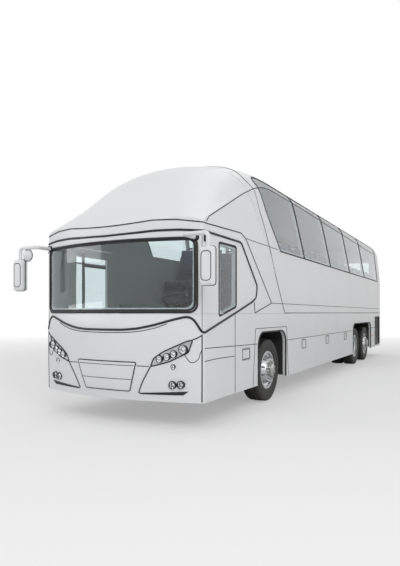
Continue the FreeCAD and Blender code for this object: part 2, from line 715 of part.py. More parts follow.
# Engine lid on two hinges, with fixed knuckles and pins on the tail
lid_gap = dim.panel_gap
lid = shell.common(cuboid((-dim.lid_half_width + lid_gap, dim.lid_half_width - lid_gap),
                          (dim.tail_y - 4 * dim.wall, dim.tail_y + FULL),
                          (dim.lid_bottom + lid_gap, dim.lid_hinge_z)))
for side in (1, -1):
    centre = side * dim.hinge_place
    half = dim.hinge_width / 2
    fixed_top = dim.lid_top + dim.hinge_leaf
    for low, high in ((-3 * half, -half - dim.bearing_gap), (half + dim.bearing_gap, 3 * half)):
        tail = tail.fuse(hinge_piece(centre, low, high, dim.lid_hinge_z, fixed_top))
    pin_start = Vector(centre - 3 * half, dim.lid_hinge_y, dim.lid_hinge_z)
    tail = tail.fuse(Part.makeCylinder(dim.hinge_radius / 2, 6 * half, pin_start, Vector(1, 0, 0)))
    bore = Part.makeCylinder(dim.hinge_radius / 2 + dim.bearing_gap, 6 * half, pin_start, Vector(1, 0, 0))
    knuckle = hinge_piece(centre, -half, half, dim.lid_hinge_z - dim.hinge_leaf, dim.lid_hinge_z)
    lid = lid.fuse(knuckle).cut(bore)
shaped("tail", tail.removeSplitter())
shaped("engine_lid", lid.removeSplitter())


# Round lamps of the left headlamp and the fog lamps, as shares of half width and belt height
HEADLAMP_SHARES = ((0.518, 0.543), (0.549, 0.612), (0.643, 0.672), (0.855, 0.763),
                   (0.910, 0.776), (0.871, 0.669), (0.698, 0.587))
SMALL_LAMP_SHARES = ((0.612, 0.611), (0.682, 0.631), (0.745, 0.655))
LARGE_LAMP_SHARES = ((0.831, 0.695),)
FOG_SHARES = ((0.722, 0.387), (0.800, 0.391))


def front_points(shares, side):
    """Front view corner points ahead of the nose."""
    points = []
    for x, z in shares:
        points.append(Vector(side * x * dim.half_width, dim.nose_y - dim.overrun, z * dim.belt_height))
    return points


def front_rod(share, side, radius, ahead, depth):
    """A round piece along Y that stands ahead of the fascia at a front view place."""
    x = side * share[0] * dim.half_width
    z = share[1] * dim.belt_height
    start = front_place(x, z)
    return Part.makeCylinder(radius, depth + ahead, Vector(x, start - ahead, z), Vector(0, 1, 0))


front_sweep = Vector(0, dim.nose_bulge + 2 * dim.overrun, 0)
low_box = (dim.sill_height, dim.belt_height - dim.panel_gap / 2)
fascia_span = (dim.nose_y - FULL, dim.fascia_seam_y - dim.panel_gap / 2)
whole_fascia = shell.common(cuboid((-FULL, FULL), fascia_span, low_box))
fascia = whole_fascia.cut(cab_window_prism(dim.glass_lap, *left_side)).cut(doorways[0])
fascia = fascia.cut(recess_skin.common(cab_window_prism(-dim.fit_gap, *left_side)))
lamp_shapes = []
fog_shapes = []
for side in (1, -1):
    lamp_prism = rounded_prism(front_points(HEADLAMP_SHARES, side), dim.lamp_corner, front_sweep)
    lamp = whole_fascia.common(lamp_prism)
    fascia = fascia.cut(lamp_prism)
    for radius, shares in ((dim.lamp_small, SMALL_LAMP_SHARES), (dim.lamp_large, LARGE_LAMP_SHARES)):
        for share in shares:
            lamp = lamp.fuse(front_rod(share, side, radius, dim.lamp_bezel, dim.wall / 2))
    lamp_shapes.append(lamp)
    for share in FOG_SHARES:
        fascia = fascia.cut(front_rod(share, side, dim.fog_radius + dim.fit_gap, dim.wall, 3 * dim.wall))
        fog_shapes.append(front_rod(share, side, dim.fog_radius, dim.lamp_proud, dim.wall))
shaped("front_fascia", fascia)
shaped("headlamps", Part.makeCompound(lamp_shapes))
shaped("fog_lamps", Part.makeCompound(fog_shapes))


def arch_prism(front, rear, top):
    """Side view solid of a wheel arch opening, open below the sill."""
    foot = dim.sill_height - FULL
    points = [Vector(-FULL, y, z) for y, z in ((front, foot), (rear, foot), (rear, top), (front, top))]
    return rounded_prism(points, dim.arch_corner, Vector(2 * FULL, 0, 0))


front_arch = arch_prism(dim.front_axle_y - dim.front_arch_radius, dim.front_axle_y + dim.front_arch_radius,
                        dim.front_arch_top)
rear_arch = arch_prism(dim.drive_axle_y - dim.rear_arch_radius, dim.tag_axle_y + dim.rear_arch_tail,
                       dim.rear_arch_top)

# Skirts around the wheel arches, left and right
skirt = shell.common(cuboid((-FULL, FULL), (dim.fascia_seam_y + dim.panel_gap / 2,
                                            dim.tail_seam_y - dim.panel_gap / 2), low_box))
skirt = skirt.cut(front_arch).cut(rear_arch)
left_bays = cuboid(left_side, (dim.bay_y, dim.bay_end_y), (0, dim.belt_height))
right_bays = cuboid(right_side, (dim.bay_y, dim.bay_y + 2 * dim.flap_pitch), (0, dim.belt_height))
filler_y = dim.corner_y + dim.filler_front
filler_space = cuboid(left_side, (filler_y - dim.panel_gap, filler_y + dim.filler_width + dim.panel_gap),
                      (dim.filler_low - dim.panel_gap, dim.filler_high + dim.panel_gap))
filler_flap = skirt.common(cuboid(left_side, (filler_y, filler_y + dim.filler_width),
                                  (dim.filler_low, dim.filler_high)))
filler_hinge = Part.makeCylinder(dim.flap_hinge, dim.filler_high - dim.filler_low,
                                 Vector(dim.half_width, filler_y, dim.filler_low))
grille_y = (dim.tail_seam_y - dim.grille_tail - dim.grille_length, dim.tail_seam_y - dim.grille_tail)
grille_space = cuboid((-FULL, FULL), grille_y, (dim.grille_low, dim.grille_high))
skirt = skirt.cut(left_bays).cut(right_bays).cut(doorways[0]).cut(doorways[1]).cut(filler_space).cut(grille_space)
shaped("skirts", skirt)
shaped("filler_flap", filler_flap.fuse(filler_hinge))


def grille_shape():
    """Framed louvre of the left side, with slats that slope down and out."""
    face = dim.half_width - dim.lamp_gap
    frame_x = (face - dim.slat_depth - dim.slat_sheet, face)
    gap = dim.fit_gap
    around = cuboid(frame_x, (grille_y[0] + gap, grille_y[1] - gap),
                    (dim.grille_low + gap, dim.grille_high - gap))
    edge = dim.grille_frame
    inside = ((grille_y[0] + edge, grille_y[1] - edge), (dim.grille_low + edge, dim.grille_high - edge))
    grille = around.cut(cuboid((frame_x[0] - edge, face + edge), *inside))
    slat_x = (face - dim.slat_depth, face - dim.lamp_gap)
    count = int((inside[1][1] - inside[1][0]) / dim.slat_pitch)
    for index in range(count):
        foot = inside[1][0] + (index + 0.25) * dim.slat_pitch
        head = foot + dim.slat_pitch / 2
        corners = ((slat_x[1], foot), (slat_x[1], foot + dim.slat_sheet),
                   (slat_x[0], head + dim.slat_sheet), (slat_x[0], head))
        section = [Vector(x, inside[0][0], z) for x, z in corners]
        grille = grille.fuse(prism(section, Vector(0, inside[0][1] - inside[0][0], 0)))
    return grille.removeSplitter()


left_grille = grille_shape()
shaped("side_grilles", Part.makeCompound([left_grille, left_grille.mirror(Vector(), Vector(1, 0, 0))]))

# Luggage flaps, hung at their upper edge
FLAPS = (("left", 1, 3), ("right", -1, 2))
for side_name, side, count in FLAPS:
    for index in range(count):
        front = dim.bay_y + index * dim.flap_pitch + dim.panel_gap / 2
        span = (front, front + dim.flap_pitch - dim.panel_gap)
        reach = left_side if side > 0 else right_side
        flap = shell.common(cuboid(reach, span, low_box))
        middle = (span[0] + span[1]) / 2
        recess_x = (dim.half_width - dim.handle_depth, dim.half_width + dim.overrun)
        recess_y = (middle - dim.handle_width / 2, middle + dim.handle_width / 2)
        recess_top = dim.handle_low + dim.handle_height
        bar_x = (dim.half_width - dim.handle_depth, dim.half_width - dim.lamp_gap)
        bar_z = (recess_top - 2 * dim.handle_bar, recess_top - dim.handle_bar)
        if side < 0:
            recess_x = (-recess_x[1], -recess_x[0])
            bar_x = (-bar_x[1], -bar_x[0])
        barrel = Part.makeCylinder(dim.flap_hinge, span[1] - span[0],
                                   Vector(side * dim.half_width, span[0], low_box[1]), Vector(0, 1, 0))
        flap = flap.cut(cuboid(recess_x, recess_y, (dim.handle_low, recess_top)))
        flap = flap.fuse([cuboid(bar_x, recess_y, bar_z), barrel])
        shaped("luggage_flap_%s_%d" % (side_name, index + 1), flap.removeSplitter())

# Bonded glass
shaped("windscreen", pane_skin.common(screen_prism(0)))
glass_shapes = []
for index in range(WINDOWS):
    glass_shapes.append(pane_skin.common(side_band).common(window_slab(index, dim.glass_gap / 2)))
glass_shapes.append(pane_skin.common(cab_window_prism(0, *left_side)))
glass_shapes.append(pane_skin.common(rear_window_prism(0)))
side_panes = Part.makeCompound([solid for shape in glass_shapes for solid in shape.Solids])
shaped("window_glass", side_panes)

# Door leaves with their glass and the lugs that the door arms turn in
DOORS =(("front_door", "door_y", 1), ("mid_door", "mid_door_y", -1))


def post_place_text(front, way):
    """Expression for the place of a door post; way is where its arms point."""
    if way > 0:
        return front + " + door_post_inset"
    return front + " + door_length - door_post_inset"


derive("front_post_y", post_place_text("door_y", 1))
derive("mid_post_y", post_place_text("mid_door_y", -1))
derive("front_eye_y", "front_post_y + door_arm")
derive("mid_eye_y", "mid_post_y - door_arm")
derive("post_place_x", "door_post_depth - inner_width")
doc.recompute()

for name, front, eye_y in (("front_door", dim.door_y, dim.front_eye_y),
                           ("mid_door", dim.mid_door_y, dim.mid_eye_y)):
    leaf = shell.common(door_prism(front, 0, *right_side))
    pane = (front + dim.door_frame, front + dim.door_length - dim.door_frame)
    pane_height = (dim.door_glass_sill, dim.door_top - dim.door_frame)
    opening = cuboid(right_side, (pane[0] + dim.glass_lap, pane[1] - dim.glass_lap),
                     (pane_height[0] + dim.glass_lap, pane_height[1] - dim.glass_lap))
    seat = cuboid(right_side, (pane[0] - dim.fit_gap, pane[1] + dim.fit_gap),
                  (pane_height[0] - dim.fit_gap, pane_height[1] + dim.fit_gap))
    leaf = leaf.cut(opening).cut(recess_skin.common(seat))
    radius = dim.door_post_radius
    rail_low = dim.door_arm_high + dim.door_arm_height / 2 + dim.fit_gap
    rail_span = (front + dim.door_frame, eye_y + 3 * radius)
    if eye_y < front + dim.door_length / 2:
        rail_span = (eye_y - 3 * radius, front + dim.door_length - dim.door_frame)
    leaf = leaf.fuse(cuboid((-dim.inner_width, -dim.inner_width + radius), rail_span,
                            (rail_low, rail_low + radius)))
    for height in (dim.door_arm_low, dim.door_arm_high):
        low = height + dim.door_arm_height / 2 + dim.fit_gap
        lug = cuboid((-dim.inner_width - dim.fit_gap, dim.post_place_x), (eye_y - radius, eye_y + radius),
                     (low, low + radius))
        tip = Part.makeCylinder(radius, radius, Vector(dim.post_place_x, eye_y, low))
        pin = Part.makeCylinder(radius / 2, dim.door_arm_height + dim.fit_gap,
                                Vector(dim.post_place_x, eye_y, low - dim.door_arm_height - dim.fit_gap))
        leaf = leaf.fuse([lug, tip, pin])
    shaped(name, leaf.removeSplitter())
    shaped(name + "_glass", pane_skin.common(cuboid(right_side, pane, pane_height)))

# Door posts, each with two arms
for name, post_y, eye_y in (("front_door", "front_post_y", "front_eye_y"),
                            ("mid_door", "mid_post_y", "mid_eye_y")):
    pieces = [rod(name + "_post", "door_post_radius", "z",
                  ("step_height + fit_gap", "door_top - door_frame"), ("post_place_x", post_y))]
    low_y, high_y = (post_y, eye_y) if name == "front_door" else (eye_y, post_y)
    bores = []
    for level, height in (("low", "door_arm_low"), ("high", "door_arm_high")):
        section = (height + " - door_arm_height / 2", height + " + door_arm_height / 2")
        across = ("post_place_x - door_post_radius / 2", "post_place_x + door_post_radius / 2")
        pieces.append(block(name + "_bar_" + level, across, (low_y, high_y), section))
        pieces.append(rod(name + "_eye_" + level, "door_post_radius", "z", section, ("post_place_x", eye_y)))
        bores.append(rod(name + "_bore_" + level, "door_post_radius / 2 + bearing_gap", "z",
                         (height + " - door_arm_height", height + " + door_arm_height"), ("post_place_x", eye_y)))
    sub_part(difference(name + "_arm_bored", union(name + "_arm_union", pieces),
                        union(name + "_arm_bores", bores)), name + "_arm")

cabin = doc.addObject("Part::Feature", "cabin_space")
cabin.Shape = envelope(dim.wall + dim.fit_gap)
edge = "(inner_width - fit_gap)"

# Chassis frames under the front and the rear of the body
FRAMES = (
    ("front", "corner_y + 2 * cross_width", "bay_y - bay_floor_sheet - fit_gap",
     ("corner_y + 2 * cross_width", "front_axle_y - front_arch_radius", "front_axle_y + front_arch_radius")),
    ("rear", "bay_end_y + bay_floor_sheet + fit_gap", "tail_seam_y - cross_width",
     ("bay_end_y + 2 * cross_width", "drive_axle_y + bogie_spacing / 2 - cross_width / 2",
      "tail_seam_y - 2 * cross_width")),
)
frame_pieces = []
for end, front, rear, crossings in FRAMES:
    members = []
    for side in (1, -1):
        members.append(block("%s_rail_%d" % (end, side + 1), sided(side, "rail_inner", "rail_outer"),
                             (front, rear), ("rail_bottom", "rail_top")))
    for index, place in enumerate(crossings):
        members.append(block("%s_cross_%d" % (end, index), ("-rail_outer", "rail_outer"),
                             (place, place + " + cross_width"),
                             ("rail_bottom + rail_width / 2", "rail_top - rail_width / 2")))
    frame_pieces += members
bearer_top = "(cab_floor_height - floor_sheet)"
BEARERS = ("door_y - cross_width - 2 * well_margin", "corner_y + cab_floor_length - cross_width")
for index, place in enumerate(BEARERS):
    frame_pieces.append(block("bearer_%d" % index, ("-" + edge, edge), (place, place + " + rail_width"),
                              ("rail_top", bearer_top)))
PADS = (("front_pad", "front_axle_y - front_arch_radius - jack_pad_size"),
        ("rear_pad", "bay_end_y + bay_floor_sheet + jack_pad_size"))
for name, place in PADS:
    for side in (1, -1):
        across = sided(side, "rail_offset - jack_pad_size / 2", "rail_offset + jack_pad_size / 2")
        frame_pieces.append(block("%s_%d" % (name, side + 1), across, (place, place + " + jack_pad_size"),
                                  ("rail_bottom - jack_pad_height", "rail_bottom")))
sub_part(union("chassis_union", frame_pieces), "chassis_frames")

# Luggage hold between the two frames
hold = [block("hold_floor", ("-" + edge, edge), ("bay_y - bay_floor_sheet", "bay_end_y + bay_floor_sheet"),
              ("bay_floor_height - bay_floor_sheet", "bay_floor_height"))]
for index, place in enumerate(("bay_y - bay_floor_sheet", "bay_y + flap_pitch - bay_floor_sheet / 2",
                               "bay_y + 2 * flap_pitch - bay_floor_sheet / 2", "bay_end_y")):
    hold.append(block("hold_wall_%d" % index, ("-" + edge, edge), (place, place + " + bay_floor_sheet"),
                      ("bay_floor_height - bay_floor_sheet", "floor_low")))
well_front = "(mid_door_y - well_margin - step_sheet)"
well_rear = "(mid_door_y + door_length + well_margin + step_sheet)"
well_cut = block("hold_well_cut", ("-half_width", "-(well_inner - step_sheet) + fit_gap"),
                 (well_front + " - fit_gap", well_rear + " + fit_gap"), ("0", "belt_height"))
sub_part(difference("hold_cut", union("hold_union", hold), well_cut), "luggage_hold")

# Passenger floor, driver platform, entry wells and steps
end_y = "(tail_y - tail_bulge - rear_corner_radius)"
cab_end = "(corner_y + cab_floor_length)"
floor_plate = block("floor_plate", ("-" + edge, edge), (cab_end, end_y), ("floor_low", "floor_height"))
mid_hole = block("mid_hole", ("-half_width", "-well_inner"),
                 ("mid_door_y - well_margin", "mid_door_y + door_length + well_margin"), ("0", "coach_height"))
aisle_end = "%s + 3 * aisle_tread" % cab_end
aisle_hole = block("aisle_hole", ("-aisle_half", "aisle_half"), (cab_end + " - overrun", aisle_end),
                   ("cab_floor_height", "coach_height"))
platform = block("platform", ("-" + edge, edge), ("nose_y", cab_end + " + step_sheet"),
                 ("cab_floor_height - floor_sheet", "cab_floor_height"))
front_hole = block("front_hole", ("-half_width", "-front_well_inner"),
                   ("door_y - well_margin", "door_y + door_length + well_margin"), ("0", "coach_height"))
bulkhead = block("bulkhead", ("-" + edge, edge), (cab_end, cab_end + " + step_sheet"),
                 ("cab_floor_height", "floor_low"))
floor_pieces = [difference("floor_holed", union("floor_level", [floor_plate, bulkhead]),
                           union("floor_holes", [mid_hole, aisle_hole])),
                difference("platform_holed", overlap("platform_fitted", [platform, cabin]), front_hole)]
rise = "((floor_height - cab_floor_height) / 4)"
for index in range(3):
    top = "cab_floor_height + %d * %s" % (index + 1, rise)
    start = "%s + %d * aisle_tread" % (cab_end, index)
    floor_pieces.append(block("aisle_tread_%d" % index, ("-aisle_half", "aisle_half"),
                              (start, start + " + aisle_tread"), (top + " - step_sheet", top)))
    floor_pieces.append(block("aisle_riser_%d" % index, ("-aisle_half", "aisle_half"),
                              (start, start + " + step_sheet"), (top + " - " + rise + " - step_sheet", top)))
floor_pieces.append(block("aisle_riser_top", ("-aisle_half", "aisle_half"),
                          (aisle_end + " - step_sheet", aisle_end),
                          ("floor_height - %s - step_sheet" % rise, "floor_height")))
for side in (1, -1):
    floor_pieces.append(block("aisle_cheek_%d" % (side + 1), sided(side, "aisle_half", "aisle_half + step_sheet"),
                              (cab_end, aisle_end), ("cab_floor_height", "floor_low")))


def entry_well(name, front, top, inner, tread, count, landing):
    """Walls, landing and steps of an entry behind a door."""
    low_y = "(%s - well_margin)" % front
    high_y = "(%s + door_length + well_margin)" % front
    out = "-" + edge
    base = "step_height - step_sheet"
    pieces = [block(name + "_landing", (out, "-" + inner), (low_y, high_y), (base, "step_height")),
              block(name + "_back", ("-" + inner, "-%s + step_sheet" % inner), (low_y, high_y), (base, top)),
              block(name + "_cheek_front", (out, "-%s + step_sheet" % inner), (low_y + " - step_sheet", low_y),
                    (base, top)),
              block(name + "_cheek_rear", (out, "-%s + step_sheet" % inner), (high_y, high_y + " + step_sheet"),
                    (base, top))]
    for index in range(count):
        height = "(step_height + %d * (%s - step_height) / %d)" % (index + 1, landing, count + 1)
        reach = "-%s - %d * %s" % (inner, count - index, tread)
        pieces.append(block("%s_tread_%d" % (name, index), (reach, "-" + inner), (low_y, high_y),
                            (height + " - step_sheet", height)))
        pieces.append(block("%s_riser_%d" % (name, index), (reach, reach + " + step_sheet"), (low_y, high_y),
                            ("step_height", height)))
    return pieces


floor_pieces += entry_well("front_well", "door_y", "cab_floor_height - floor_sheet", "front_well_inner",
                           "entry_tread", 1, "cab_floor_height")
floor_pieces += entry_well("mid_well", "mid_door_y", "floor_low", "well_inner", "mid_tread", 4, "floor_height")
sub_part(union("floor_union", floor_pieces), "cabin_floor")


def liner_shape(front, rear, top, inner_x, open_height):
    """Wheelhouse sheet over one arch on the left side."""
    sheet_depth = dim.liner
    hollow = arch_prism(front, rear, top)
    around = arch_prism(front - sheet_depth, rear + sheet_depth, top + sheet_depth)
    outer_x = dim.inner_width - dim.fit_gap
    band = around.cut(hollow).common(cuboid((inner_x, outer_x), (front - FULL, rear + FULL),
                                            (dim.sill_height + dim.overrun, HIGH)))
    cheek = around.common(cuboid((inner_x, inner_x + sheet_depth), (front - FULL, rear + FULL),
                                 (open_height, HIGH)))
    return band.fuse(cheek).removeSplitter()


liners = [liner_shape(dim.front_axle_y - dim.front_arch_radius, dim.front_axle_y + dim.front_arch_radius,
                      dim.front_arch_top, dim.liner_inner, dim.rail_bottom + dim.rail_width),
          liner_shape(dim.drive_axle_y - dim.rear_arch_radius, dim.tag_axle_y + dim.rear_arch_tail,
                      dim.rear_arch_top, dim.rear_liner_inner, dim.rail_bottom + dim.rail_width)]
liners += [liner.mirror(Vector(), Vector(1, 0, 0)) for liner in liners]
shaped("wheelhouses", Part.makeCompound([solid for liner in liners for solid in liner.Solids]))


def outlined(body, name, plane, points):
    """A sketch on an origin plane whose corners are held by named sizes."""
    sketch = body.newObject("Sketcher::SketchObject", name)
    origin = [item for item in body.Origin.OriginFeatures if item.Role == plane][0]
    sketch.AttachmentSupport = [(origin, "")]
    sketch.MapMode = "FlatFace"
    count = len(points)
    starts = []
    for index in range(count):
        angle = 2 * math.pi * index / count
        starts.append(Vector(math.cos(angle), math.sin(angle), 0) * dim.wall)
    for index in range(count):
        sketch.addGeometry(Part.LineSegment(starts[index], starts[(index + 1) % count]))
    for index in range(count):
        sketch.addConstraint(Sketcher.Constraint("Coincident", index, 2, (index + 1) % count, 1))
    for index, point in enumerate(points):
        for kind, letter, start, formula in zip(("DistanceX", "DistanceY"), "uv", starts[index], point):
            number = sketch.addConstraint(Sketcher.Constraint(kind, -1, 1, index, 1, start))
            sketch.renameConstraint(number, "p%d%s" % (index, letter))
            sketch.setExpression("Constraints.p%d%s" % (index, letter), linked(formula))
    return sketch


def revolved(name, points):
    """A body turned about its own X axis; points are (along the axis, radius)."""
    body = doc.addObject("PartDesign::Body", name)
    sketch = outlined(body, name + "_outline", "XZ_Plane", points)
    turn = body.newObject("PartDesign::Revolution", name + "_turn")
    turn.Profile = (sketch, [""])
    turn.ReferenceAxis = (sketch, ["H_Axis"])
    turn.Angle = 360
    return body


def padded(name, plane, points, length):
    """A body of one outline padded equally to both sides of its plane."""
    body = doc.addObject("PartDesign::Body", name)
    sketch = outlined(body, name + "_outline", plane, points)
    pad = body.newObject("PartDesign::Pad", name + "_pad")
    pad.Profile = (sketch, [""])
    pad.SideType = "Symmetric"
    pad.setExpression("Length", linked(length))
    return body


def placed(obj, x, y, z, turn=None):
    """Binds the place of an object, with a fixed turn."""
    if turn:
        obj.Placement = FreeCAD.Placement(Vector(), turn)
    for axis, formula in zip("xyz", (x, y, z)):
        obj.setExpression("Placement.Base." + axis, linked(formula))
    return obj


# Wheels: tyres, drop-centre rims with coned discs, and hubs
TYRE_OUTLINE = (
    ("rim_bead - rim_half_width + fit_gap", "rim_radius + fit_gap"),
    ("rim_half_width - rim_bead - fit_gap", "rim_radius + fit_gap"),
    ("rim_half_width - rim_bead - fit_gap", "rim_radius + rim_flange + fit_gap"),
    ("rim_half_width", "rim_radius + rim_flange + fit_gap"),
    ("tyre_width / 2", "(rim_radius + axle_height) / 2"),
    ("tyre_width / 2", "axle_height - tyre_shoulder_drop"),
    ("tyre_width / 2 - tread_inset", "axle_height"),
    ("tread_inset - tyre_width / 2", "axle_height"),
    ("-tyre_width / 2", "axle_height - tyre_shoulder_drop"),
    ("-tyre_width / 2", "(rim_radius + axle_height) / 2"),
    ("-rim_half_width", "rim_radius + rim_flange + fit_gap"),
    ("rim_bead - rim_half_width + fit_gap", "rim_radius + rim_flange + fit_gap"),
)
RIM_OUTLINE = (
    ("-rim_half_width", "rim_radius - rim_sheet"),
    ("-rim_half_width", "rim_radius + rim_flange"),
    ("rim_bead - rim_half_width", "rim_radius + rim_flange"),
    ("rim_bead - rim_half_width", "rim_radius"),
    ("-rim_well - rim_slope", "rim_radius"),
    ("-rim_well", "rim_radius - rim_drop"),
    ("rim_well", "rim_radius - rim_drop"),
    ("rim_well + rim_slope", "rim_radius"),
    ("rim_half_width - rim_bead", "rim_radius"),
    ("rim_half_width - rim_bead", "rim_radius + rim_flange"),
    ("rim_half_width", "rim_radius + rim_flange"),
    ("rim_half_width", "rim_radius - rim_sheet"),
    ("rim_well + rim_slope", "rim_radius - rim_sheet"),
    ("rim_well", "rim_radius - rim_drop - rim_sheet"),
    ("disc_root + 2 * disc_sheet", "rim_radius - rim_drop - rim_sheet"),
    ("disc_offset + disc_sheet", "disc_face + disc_sheet"),
    ("disc_offset + disc_sheet", "hub_radius - rim_sheet"),
    ("disc_offset", "hub_radius - rim_sheet"),
    ("disc_offset", "disc_face"),
    ("disc_root", "rim_radius - rim_drop - rim_sheet"),
    ("-rim_well", "rim_radius - rim_drop - rim_sheet"),
    ("-rim_well - rim_slope", "rim_radius - rim_sheet"),
)
HALF_TURN = Rotation(Vector(0, 0, 1), 180)


def wheel_turn(outward):
    return Rotation() if outward > 0 else HALF_TURN


def tyre(name, x, y):
    """A tyre with rounded shoulders, filled to its seat on the rim."""
    body = revolved(name, TYRE_OUTLINE)
    return placed(body, x, y, "axle_height")


def rim(name, x, y, outward):
    """A rim with its disc offset towards outward, and vent holes round the disc."""
    body = revolved(name, RIM_OUTLINE)
    sketch = body.newObject("Sketcher::SketchObject", name + "_vent")
    plane = [item for item in body.Origin.OriginFeatures if item.Role == "YZ_Plane"][0]
    sketch.AttachmentSupport = [(plane, "")]
    sketch.MapMode = "FlatFace"
    sketch.addGeometry(Part.Circle(Vector(0, dim.vent_circle, 0), Vector(0, 0, 1), dim.vent_hole))
    sketch.addConstraint(Sketcher.Constraint("PointOnObject", 0, 3, -2))
    number = sketch.addConstraint(Sketcher.Constraint("DistanceY", -1, 1, 0, 3, dim.vent_circle))
    sketch.setExpression("Constraints[%d]" % number, linked("vent_circle"))
    number = sketch.addConstraint(Sketcher.Constraint("Radius", 0, dim.vent_hole))
    sketch.setExpression("Constraints[%d]" % number, linked("vent_hole"))
    vent = body.newObject("PartDesign::Pocket", name + "_vent_hole")
    vent.Profile = (sketch, [""])
    vent.SideType = "Symmetric"
    vent.setExpression("Length", linked("2 * disc_offset + 4 * disc_sheet"))
    pattern = body.newObject("PartDesign::PolarPattern", name + "_vents")
    pattern.Originals = [vent]
    pattern.Axis = ([item for item in body.Origin.OriginFeatures if item.Role == "X_Axis"][0], [""])
    pattern.Angle = 360
    pattern.Occurrences = VENTS
    body.Tip = pattern
    return placed(body, x, y, "axle_height", wheel_turn(outward))


VENTS = 10
WHEELS = (
    ("front", "front_axle_y"),
    ("drive", "drive_axle_y"),
    ("tag", "tag_axle_y"),
)
derive("twin_plane", "wheel_offset - disc_offset - disc_sheet")
derive("hub_inner", "wheel_offset + disc_offset - hub_depth")
derive("hub_outer", "wheel_offset + disc_offset + disc_sheet + hub_cap")
derive("twin_hub_inner", "twin_plane - hub_depth")
derive("twin_hub_outer", "twin_plane + hub_depth")
doc.recompute()
for axle, axle_y in WHEELS:
    for side_name, side in (("left", 1), ("right", -1)):
        name = "%s_%s" % (axle, side_name)
        centre = (axle_y, "axle_height")
        far = "%d * wheel_offset" % side
        tyres = [tyre("tyre_body_" + name, far, axle_y)]
        if axle == "drive":
            near = "%d * (wheel_offset - twin_spacing)" % side
            tyres.append(tyre("tyre_inner_" + name, near, axle_y))
            rims = [rim("rim_outer_" + name, far, axle_y, -side),
                    rim("rim_inner_" + name, near, axle_y, side)]
            ends = ("twin_hub_inner", "twin_hub_outer")
            flange = ("twin_plane - disc_sheet - hub_flange_width", "twin_plane - disc_sheet")
        else:
            rims = [rim("rim_outer_" + name, far, axle_y, side)]
            ends = ("hub_inner", "hub_outer")
            flange = ("wheel_offset + disc_offset - hub_flange_width", "wheel_offset + disc_offset")
        hub = [rod("hub_" + name, "hub_radius", "x", sided(side, *ends), centre),
               rod("hub_flange_" + name, "hub_flange", "x", sided(side, *flange), centre),
               rod("brake_" + name, "brake_radius", "x", sided(side, ends[0], ends[0] + " + brake_width"), centre)]
        bore = rod("hub_bore_" + name, "spindle_radius + bearing_gap", "x",
                   sided(side, ends[0] + " - overrun", ends[1] + " - hub_end"), centre)
        sub_part(difference("wheel_bored_" + name, union("wheel_union_" + name, rims + hub), bore), "rim_" + name)
        whole_tyre = union("tyre_union_" + name, tyres) if len(tyres) > 1 else tyres[0]
        sub_part(whole_tyre, "tyre_" + name)

# Steering knuckles on kingpins, and the dropped front axle beam
boss = ("axle_height - kingpin_boss_height / 2", "axle_height + kingpin_boss_height / 2")
for side_name, side in (("left", 1), ("right", -1)):
    pin_place = ("%d * kingpin_offset" % side, "front_axle_y")
    across = ("front_axle_y - yoke_half", "front_axle_y + yoke_half")
    web = "kingpin_offset + yoke_reach"
    pieces = [rod("kingpin_" + side_name, "kingpin_radius", "z",
                  (boss[0] + " - yoke_plate", boss[1] + " + yoke_plate"), pin_place)]
    for level, low, high in (("low", boss[0] + " - yoke_plate", boss[0] + " - fit_gap"),
                             ("high", boss[1] + " + fit_gap", boss[1] + " + yoke_plate")):
        pieces.append(rod("yoke_end_%s_%s" % (level, side_name), "yoke_half", "z", (low, high), pin_place))
        pieces.append(block("yoke_plate_%s_%s" % (level, side_name), sided(side, "kingpin_offset", web),
                            across, (low, high)))
    pieces.append(block("yoke_web_" + side_name, sided(side, web, web + " + yoke_web"), across,
                        (boss[0] + " - yoke_plate", boss[1] + " + yoke_plate")))
    pieces.append(rod("spindle_" + side_name, "spindle_radius", "x",
                      sided(side, web, "hub_outer - hub_end - bearing_gap"), ("front_axle_y", "axle_height")))
    sub_part(union("knuckle_union_" + side_name, pieces), "knuckle_" + side_name)

low = "(axle_height - beam_drop)"
end_x = "(kingpin_offset - kingpin_boss / 2)"
half = "beam_height / 2"
beam = padded("front_beam", "XZ_Plane", (
    ("-" + end_x, "axle_height - " + half), ("-beam_drop_half", low + " - " + half),
    ("beam_drop_half", low + " - " + half), (end_x, "axle_height - " + half),
    (end_x, "axle_height + " + half), ("beam_drop_half", low + " + " + half),
    ("-beam_drop_half", low + " + " + half), ("-" + end_x, "axle_height + " + half)), "beam_width")
placed(beam, "0", "front_axle_y", "0")
bosses = []
bores = []
for side in (1, -1):
    pin_place = ("%d * kingpin_offset" % side, "front_axle_y")
    bosses.append(rod("boss_%d" % (side + 1), "kingpin_boss", "z", boss, pin_place))
    bores.append(rod("boss_bore_%d" % (side + 1), "kingpin_radius + bearing_gap", "z",
                     (boss[0] + " - overrun", boss[1] + " + overrun"), pin_place))
sub_part(difference("front_axle_bored", union("front_axle_union", [beam] + bosses),
                    union("front_axle_bores", bores)), "front_axle")

